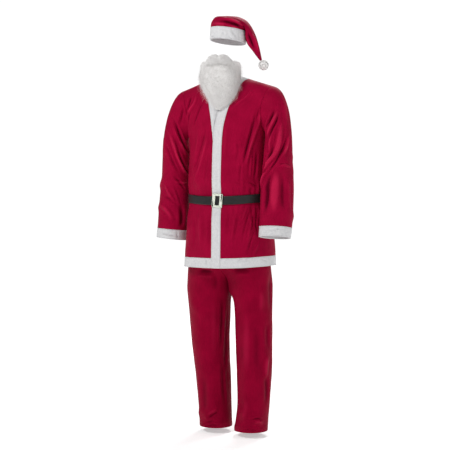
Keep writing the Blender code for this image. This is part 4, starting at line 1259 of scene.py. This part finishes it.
# Several of these creases are laid where shade falls, and the felt's painted shade along them stands in for
# it: the rows just under the jacket's hem, down the left leg's outer side and the right leg's inside, and
# along the hems.
LEG_CREASES = {
    1: creases(
        (130, 42, 172, -41, -864, 172, -41, -918, 170, -47, -973),
        (110, -48, 191, -20, -1008, 192, -23, -1067, 195, -19, -1126),
        (100, 48, 195, -19, -1143, 189, -28, -1197, 188, -25, -1252),
        (110, -61, 186, -31, -1226, 189, -17, -1291, 184, -14, -1359),
        (140, 35, 120, -67, -1318, 111, -68, -1377, 101, -67, -1437),
        (45, -41, 128, -65, -1422, 155, -53, -1412, 174, -24, -1422),
        (60, 38, 143, -57, -1435, 161, -47, -1425, 173, -21, -1435),
        (200, -34, 161, -57, -1006, 162, -61, -1122, 165, -56, -1240),
        (200, 32, 120, -69, -914, 118, -73, -1082, 116, -69, -1250),
        (110, -60, 63, -95, -786, 103, -92, -785, 146, -75, -780),
        (160, -45, 191, 11, -799, 192, 9, -884, 195, 3, -968),
        (55, -30, 67, -54, -1466, 134, -57, -1463, 176, 4, -1469),
        (162, 34, 150, 70, -1050, 110, 82, -1080, 70, 66, -1090),
        (149, -32, 155, 66, -1090, 115, 80, -1115, 72, 66, -1120),
        (108, 34, 140, 66, -1400, 110, 76, -1420, 80, 66, -1418),
        (216, 26, 110, 86, -880, 115, 84, -960, 112, 82, -1030),
    ),
    -1: creases(
        (180, -44, -93, -55, -1225, -93, -44, -1330, -96, -39, -1434),
        (48, -48, -80, -42, -1437, -52, -40, -1417, -27, -24, -1401),
        (60, 34, -84, -43, -1419, -56, -43, -1402, -33, -30, -1387),
        (50, -37, -120, -20, -1470, -77, -40, -1452, -41, -35, -1439),
        (80, -61, -11, -22, -906, -17, -24, -1031, -20, -23, -1138),
        (80, -51, -19, -21, -1147, -16, -16, -1268, -13, -3, -1390),
        (70, 34, -9, 9, -1142, -8, 7, -1193, -9, -1, -1253),
        (200, 29, -43, -60, -878, -41, -54, -1050, -45, -46, -1205),
        (110, -70, -101, -88, -793, -62, -89, -798, -25, -77, -800),
        (90, -35, -27, -82, -795, -30, -57, -840, -36, -54, -887),
        (55, -35, -120, -19, -1475, -54, -37, -1463, -4, 19, -1463),
        (110, -50, -5, 0, -925, -11, 2, -1076, -9, 0, -1205, -6, 13, -1358),
        (162, 34, -150, 80, -1050, -105, 100, -1080, -60, 86, -1090),
        (149, -32, -150, 80, -1090, -105, 100, -1118, -60, 86, -1122),
        (108, 34, -110, 94, -1400, -75, 101, -1420, -45, 90, -1416),
    ),
}

for side, side_name in ((1, "left"), (-1, "right")):
    lay_sheet(
        f"{side_name}_leg", f"trouser_leg_{side_name}", leg(side), 140, 280,
        Sheet(FELT, trouser_felt, "red_felt", ripple=0.0014), LEG_CREASES[side],
    )

lay_sheet(
    "waist_casing", "trouser_waistband", waistband, 160, 10,
    Sheet(CASING, red_felt, "red_felt", "gathered", 0.001, 0.006), tube=True,
)


# The hat: a red felt cone that folds over to the wearer's left, with its tail hanging beside the face, a
# turned-up band of thick fleece round its mouth, and a small pompom sewn to the tip.

HatRow = namedtuple("HatRow", "step outer_x outer_z inner_x inner_z depth")
HAT = (
    HatRow(0, -0.0735, 1.7485, 0.0735, 1.7308, 0.0835),
    HatRow(1, -0.0700, 1.7700, 0.0775, 1.7395, 0.0830),
    HatRow(2, -0.0525, 1.7920, 0.0825, 1.7440, 0.0800),
    HatRow(3, -0.0200, 1.7955, 0.0865, 1.7465, 0.0740),
    HatRow(4, 0.0190, 1.7950, 0.0895, 1.7420, 0.0650),
    HatRow(5, 0.0520, 1.7905, 0.0895, 1.7340, 0.0540),
    HatRow(6, 0.0810, 1.7755, 0.0850, 1.7215, 0.0450),
    HatRow(7, 0.1010, 1.7510, 0.0803, 1.7075, 0.0380),
    HatRow(8, 0.1160, 1.7205, 0.0800, 1.6900, 0.0320),
    HatRow(9, 0.1280, 1.6870, 0.0908, 1.6690, 0.0265),
    HatRow(10, 0.1370, 1.6540, 0.1075, 1.6480, 0.0205),
    HatRow(11, 0.1440, 1.6240, 0.1230, 1.6260, 0.0140),
    HatRow(12, 0.1485, 1.6030, 0.1400, 1.6040, 0.0070),
)
HAT_TURN = math.radians(13)
HAT_ROLL = 0.12
HAT_TILT = 0.02
BAND_TOP = 1.7394
BAND_HEIGHT = 0.052
BAND_WALL = 0.0045
POMPOM_X, POMPOM_Z, POMPOM_RADIUS = 0.1556, 1.5835, 0.0205


def hat_place(along, depth, height):
    """From the hat's own plane to the suit: along runs the way the tail falls."""
    return Vector((
        along * math.cos(HAT_TURN) - depth * math.sin(HAT_TURN),
        along * math.sin(HAT_TURN) + depth * math.cos(HAT_TURN),
        height,
    ))


def hat_crown(s, t):
    row = smooth_row(HAT, t * HAT[-1].step)
    turn = 2 * math.pi * s
    reach = (1 + math.cos(turn)) / 2
    along = mix(row.inner_x, row.outer_x, reach)
    height = mix(row.inner_z, row.outer_z, reach)
    depth = row.depth * math.sin(turn)
    height -= HAT_TILT * depth * max(0, 1 - t * 4)
    return hat_place(along, depth, height)


def hat_band(s, t):
    turn = 2 * math.pi * s
    along = -HAT[0].inner_x * math.cos(turn)
    depth = HAT[0].depth * math.sin(turn)
    spread = 1 + 0.02 * (1 - t)
    top = BAND_TOP - 2.5 * SEAM
    height = top - BAND_HEIGHT * (1 - t) - HAT_ROLL * along - HAT_TILT * depth
    return hat_place(along * spread, depth * spread, height)


HAT_CREASES = creases(
    (66, -88, -19, -71, 273, 18, -79, 265, 46, -69, 256, 68, -45, 246, 76, -11, 234),
    (46, 46, 15, -73, 277, 50, -67, 267, 74, -47, 257, 91, -24, 241),
    (46, -44, 40, -65, 277, 70, -50, 268, 89, -29, 252, 104, -10, 231),
    (60, 55, -40, -66, 260, -4, -81, 254, 27, -79, 247),
    (66, -94, 99, -15, 226, 105, -8, 201, 113, 0, 172, 120, 10, 143),
    (50, 46, 98, -8, 197, 102, -2, 176, 109, 8, 154),
    (46, 50, 112, 1, 219, 123, 9, 189, 132, 14, 155, 139, 20, 126),
    (36, -31, 105, 25, 239, 118, 31, 205, 129, 37, 167),
    (46, 40, 39, -73, 242, 59, -55, 240, 71, -30, 234),
)
BRIM_CREASES = creases(
    (60, -30, 24, -81, 234, 16, -84, 213, -61, 47, 211),
    (60, 26, 39, -74, 234, 47, -70, 209, 62, -53, 185),
    (60, -26, -31, -75, 226, -37, -73, 205, -73, 12, 202),
    (60, 22, 71, -32, 221, 73, -26, 200, 74, -27, 183),
)

lay_sheet(
    "crown", "hat_crown", hat_crown, 120, 200, Sheet(FELT, red_felt, "red_felt", "draped"),
    HAT_CREASES, tube=True,
)
lay_sheet(
    "brim", "hat_band", hat_band, 160, 24,
    Sheet(BAND_WALL, white_fleece, "white_fleece", "hung", 0.0015, 0.008), BRIM_CREASES, tube=True,
)


# The beard, the moustache and the pompom: dense white fur on padded bases, the beard worn over the ears. The
# fur is laid as fine short strands, down the beard, out along the moustache and all ways on the pompom.

BeardRow = namedtuple("BeardRow", "down height half_width front depth side_turn shift")
BEARD = (
    BeardRow(0.0, 1.590, 0.078, 0.080, 0.095, 1.55, 0.000),
    BeardRow(1.0, 1.562, 0.080, 0.084, 0.092, 1.60, 0.000),
    BeardRow(2.0, 1.530, 0.082, 0.086, 0.080, 1.50, 0.000),
    BeardRow(3.0, 1.4985, 0.078, 0.085, 0.058, 1.40, 0.001),
    BeardRow(4.0, 1.467, 0.066, 0.081, 0.036, 1.30, 0.004),
    BeardRow(5.0, 1.435, 0.045, 0.073, 0.017, 1.25, 0.006),
    BeardRow(6.0, 1.410, 0.024, 0.063, 0.008, 1.20, 0.003),
    BeardRow(7.0, 1.392, 0.009, 0.058, 0.004, 1.20, 0.000),
)
BEARD_X, BEARD_Y = -0.010, -0.0536
BEARD_TURN = math.radians(20)
BEARD_WALL = 0.024
PARTING_DEPTH, PARTING_PLACE, PARTING_SPREAD = 0.005, 0.46, 0.11


def beard_place(x, y, height):
    """From the beard's own axes to the suit."""
    return Vector((
        BEARD_X + x * math.cos(BEARD_TURN) - y * math.sin(BEARD_TURN),
        BEARD_Y + x * math.sin(BEARD_TURN) + y * math.cos(BEARD_TURN),
        height,
    ))


def beard_point(s, t):
    row = smooth_row(BEARD, BEARD[-1].down * (1 - t))
    turn = mix(-row.side_turn, row.side_turn, s)
    parting = PARTING_DEPTH * math.exp(-(((s - PARTING_PLACE) / PARTING_SPREAD) ** 2))
    parting = parting * ease(0.05, 0.35, t) * ease(0.95, 0.65, t)
    x = row.shift + row.half_width * math.sin(turn)
    y = -row.front + row.depth * (1 - math.cos(turn)) + parting
    return beard_place(x, y, row.height)


MoustacheRow = namedtuple("MoustacheRow", "across middle half")
MOUSTACHE = (
    MoustacheRow(0.0, 1.6000, 0.0085),
    MoustacheRow(0.3, 1.6000, 0.0130),
    MoustacheRow(0.65, 1.5970, 0.0115),
    MoustacheRow(0.85, 1.5915, 0.0085),
    MoustacheRow(1.0, 1.5850, 0.0040),
)
MOUSTACHE_HALF = 0.052
MOUSTACHE_STAND = 0.0141
MOUSTACHE_WALL = 0.014


def moustache_point(s, t):
    q = 2 * s - 1
    row = smooth_row(MOUSTACHE, abs(q))
    turn = q * MOUSTACHE_HALF / BEARD[0].half_width
    front = BEARD[0].front + MOUSTACHE_STAND
    x = MOUSTACHE_HALF * q
    y = -front + (BEARD[0].depth + MOUSTACHE_STAND) * (1 - math.cos(turn))
    return beard_place(x, y, row.middle + row.half * (2 * t - 1))


FUR_WHITE = (0.75, 0.735, 0.722)
FUR_SHADE = (0.62, 0.605, 0.595)
FUR_PILE, FUR_DEPTH = 0.0014, 0.001
EDGE_FULLNESS = 0.35  # a pad's edge, as a share of its middle

white_fur = fleece("white_fur", FUR_SHADE, FUR_WHITE, FUR_PILE, FUR_DEPTH)


def pad(name, surface, across, up, wall):
    """A padded fur base: full in its middle and thin along its edges."""
    bm = bmesh.new()
    bmesh.ops.create_grid(bm, x_segments=across, y_segments=up, size=0.5)
    shares = place_grid(bm, surface)
    face_outward(bm)
    piece = new_piece(name, bm, white_fur)
    fullness = piece.vertex_groups.new(name="fullness")
    for index, (s, t) in enumerate(shares):
        fullness.add([index], math.sin(math.pi * s) ** 0.5 * math.sin(math.pi * t) ** 0.5, "REPLACE")
    solid = add_wall(piece, wall)
    solid.vertex_group = fullness.name
    solid.thickness_vertex_group = EDGE_FULLNESS
    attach(piece, "root")
    return piece


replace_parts(pad("beard_pad", beard_point, 84, 72, BEARD_WALL), "beard")
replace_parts(pad("moustache_pad", moustache_point, 84, 24, MOUSTACHE_WALL), "moustache")

STRAND_STEPS = 3
STRAND_WIDTH, WISP_WIDTH = 0.0008, 0.00055
BEARD_LENGTH, WISP_LENGTH, MOUSTACHE_LENGTH, POMPOM_LENGTH = 0.0125, 0.024, 0.0105, 0.0060
STRAND_TAPER = 0.85  # how much of its width a strand loses by its tip
STRAND_ARCH = 0.62  # how much of a half turn of a sine its way off the pad and over takes
LOCK = 0.006  # how wide a lock is at its root
LOCK_PULL = 0.25  # the share of the way to the middle of its lock that a tip is drawn


def fur_material(name, root, tip):
    """Loose fur: shaded at the roots and pale at the tips, with a soft sheen along each strand."""
    material, shader, wire = new_material(name, 0.7, 0.15, (1, 1, 1), 0.5, gloss=0.25)
    place = wire.node("ShaderNodeTexCoord", output="Object")
    over = wire.node("ShaderNodeTexCoord", output="UV")
    along = wire.node("ShaderNodeSeparateXYZ", (), {0: over}, output="Y")
    tone = along.within(0.0, 0.75) * 0.60 + grain(wire, place, 42.0) * 0.60
    finish_material(wire, shader, blend(wire, tone.within(0.1, 1.0), root, tip), 0.85 - along * 0.25)
    return material


loose_fur = fur_material("loose_fur", FUR_SHADE, (0.80, 0.785, 0.775))


def lay_fur(name, roots, normals, flows, lengths, widths, lift, seed, stray=0.22, material=loose_fur):
    """Fur on a pad: one narrow ribbon for each root, standing off the pad and bending along its flow."""
    chance = np.random.default_rng(seed)
    count = len(roots)
    bm = bmesh.new()
    cells_across = 2 * count - 1  # every other one is a strand, and the rest are taken out
    bmesh.ops.create_grid(bm, x_segments=cells_across, y_segments=STRAND_STEPS, size=0.5)
    cloth = bm.loops.layers.uv.new("cloth")
    for face in bm.faces:
        for loop in face.loops:
            loop[cloth].uv = (0.5, loop.vert.co.y + 0.5)
    between = [face for face in bm.faces if face.index % cells_across % 2]
    bmesh.ops.delete(bm, geom=between, context="FACES")
    piece = new_piece(name, bm, material)
    cells = np.round(roots / LOCK).astype(int)
    keys, cell = np.unique(cells, axis=0, return_inverse=True)
    cell = cell.reshape(-1)
    lean = chance.normal(0, 0.14, (len(keys), 3))[cell] + chance.normal(0, stray, (count, 3))
    middle = np.zeros((len(keys), 3))
    np.add.at(middle, cell, roots)
    middle /= np.bincount(cell)[:, None]
    gather = middle[cell] - roots
    side = np.cross(flows + lean, normals)
    side /= np.linalg.norm(side, axis=1)[:, None]
    flows = flows + lean
    flows /= np.linalg.norm(flows, axis=1)[:, None]
    curl = chance.normal(0, 0.12, count)[:, None] * side
    rows = []
    for step in range(STRAND_STEPS + 1):
        share = step / STRAND_STEPS
        out = lift * math.sin(share * math.pi * STRAND_ARCH)
        run = share ** 1.25
        centre = roots + lengths[:, None] * (normals * out + flows * run + curl * math.sin(share * math.pi))
        centre = centre + gather * (LOCK_PULL * share)
        half = (widths * (1 - STRAND_TAPER * share ** 1.5) / 2)[:, None] * side
        rows.append(np.stack([centre - half, centre + half], axis=1).reshape(-1, 3))
    piece.data.vertices.foreach_set("co", np.concatenate(rows).astype(np.float32).reshape(-1))
    piece.data.update()
    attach(piece, "root")


def pad_roots(surface, wall, count, seed, low=0.0, high=1.0):
    """Roots scattered over a pad's outer face, with the way out of it, the way up and the way across."""
    chance = np.random.default_rng(seed)
    shares = chance.random((count, 2))
    shares[:, 1] = low + (high - low) * shares[:, 1]
    points, ups, rights = [], [], []
    step = 0.01
    for s, t in shares:
        point = surface(s, t)
        up = surface(s, min(t + step, 1)) - surface(s, max(t - step, 0))
        right = surface(min(s + step, 1), t) - surface(max(s - step, 0), t)
        points.append((point.x, point.y, point.z - NECK_HEIGHT))
        ups.append(up.normalized())
        rights.append(right.normalized())
    points, ups, rights = np.array(points), np.array(ups), np.array(rights)
    normals = np.cross(rights, ups)
    normals /= np.linalg.norm(normals, axis=1)[:, None]
    full = np.sqrt(np.sin(np.pi * shares[:, 0])) * np.sqrt(np.sin(np.pi * shares[:, 1]))
    return shares, points + normals * (wall / 2 * full * 0.8)[:, None], normals, ups, rights


BEARD_STRANDS = 32000
shares, roots, normals, ups, rights = pad_roots(beard_point, BEARD_WALL, BEARD_STRANDS, 4)
aside = (shares[:, 0] - 0.5) * 2
rising = np.clip((shares[:, 1] - 0.90) / 0.10, 0, 1)
sideways = 0.25 * aside + 0.5 * np.sign(aside) * np.clip(abs(aside) - 0.8, 0, 1) / 0.2
flows = -ups * (1 - 1.5 * rising)[:, None] + rights * sideways[:, None]
chance = np.random.default_rng(11)
tip = 0.4 + 0.6 * np.clip(shares[:, 1] / 0.25, 0, 1)  # the fur is shorter at the beard's point
lengths = (BEARD_LENGTH - 0.004 * rising) * tip * (0.6 + 0.6 * chance.random(BEARD_STRANDS))
widths = STRAND_WIDTH * (0.6 + 0.8 * chance.random(BEARD_STRANDS))
lay_fur("beard_fur", roots, normals, flows, lengths, widths, 0.30, 5)

# Longer wisps stray from the beard's sides and its lower edge
WISPS = 5500
chance = np.random.default_rng(21)
shares, roots, normals, ups, rights = pad_roots(beard_point, BEARD_WALL, 4 * WISPS, 22)
aside = (shares[:, 0] - 0.5) * 2
edge = np.maximum(abs(aside), 1 - 2.2 * shares[:, 1])
keep = np.argsort(-(edge + 0.25 * chance.random(4 * WISPS)))[:WISPS]
shares, roots, normals, ups, rights, aside = (
    part[keep] for part in (shares, roots, normals, ups, rights, aside)
)
flows = -ups + rights * (0.55 * np.sign(aside) * abs(aside) ** 2)[:, None]
tip = 0.25 + 0.75 * np.clip(shares[:, 1] / 0.30, 0, 1)
lengths = WISP_LENGTH * tip * (0.5 + 0.8 * chance.random(WISPS))
widths = np.full(WISPS, WISP_WIDTH)
lay_fur("beard_wisps", roots, normals, flows, lengths, widths, 0.22, 23, stray=0.34)

MOUSTACHE_STRANDS = 12000
shares, roots, normals, ups, rights = pad_roots(moustache_point, MOUSTACHE_WALL, MOUSTACHE_STRANDS, 6)
aside = (shares[:, 0] - 0.5) * 2
lower = np.clip((0.45 - shares[:, 1]) / 0.45, 0, 1)
outward = 0.8 * np.sign(aside) * (1 - 0.4 * lower)
downward = 0.7 - 1.1 * (shares[:, 1] - 0.5)
flows = rights * outward[:, None] - ups * downward[:, None]
chance = np.random.default_rng(12)
lengths = (MOUSTACHE_LENGTH + 0.007 * lower) * (0.6 + 0.6 * chance.random(MOUSTACHE_STRANDS))
widths = STRAND_WIDTH * (0.6 + 0.8 * chance.random(MOUSTACHE_STRANDS))
lay_fur("moustache_fur", roots, normals, flows, lengths, widths, 0.30, 7)

# the pompom's fur is the beard's white fur painted paler, to stand in for light the pompom lacks
POMPOM_BRIGHTENED_WHITE = (0.92, 0.91, 0.90)
POMPOM_BRIGHTENED_SHADE = (0.80, 0.79, 0.78)
POMPOM_CORE, POMPOM_ROOTS = 0.90, 0.88  # shares of its radius
pompom_pile = fleece("pompom_pile", POMPOM_BRIGHTENED_SHADE, POMPOM_BRIGHTENED_WHITE, FUR_PILE, FUR_DEPTH)
pompom_bm = bmesh.new()
bmesh.ops.create_icosphere(pompom_bm, subdivisions=4, radius=POMPOM_RADIUS * POMPOM_CORE)
pompom_centre = hat_place(POMPOM_X, 0, POMPOM_Z) - Vector((0, 0, NECK_HEIGHT))
bmesh.ops.translate(pompom_bm, vec=pompom_centre, verts=pompom_bm.verts)
pompom = new_piece("pompom", pompom_bm, pompom_pile)
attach(pompom, "root")
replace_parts(pompom, "hat_pompom")

POMPOM_STRANDS = 11000
chance = np.random.default_rng(13)
normals = chance.normal(0, 1, (POMPOM_STRANDS, 3))
normals /= np.linalg.norm(normals, axis=1)[:, None]
roots = np.array(pompom_centre) + normals * POMPOM_RADIUS * POMPOM_ROOTS
flows = np.cross(normals, chance.normal(0, 1, (POMPOM_STRANDS, 3)))
flows /= np.linalg.norm(flows, axis=1)[:, None]
lengths = POMPOM_LENGTH * (0.7 + 0.5 * chance.random(POMPOM_STRANDS))
widths = np.full(POMPOM_STRANDS, STRAND_WIDTH)
pompom_fur = fur_material("pompom_fur", POMPOM_BRIGHTENED_SHADE, POMPOM_BRIGHTENED_WHITE)
lay_fur("pompom_tufts", roots, normals, flows + normals * 0.1, lengths, widths, 0.35, 8, material=pompom_fur)
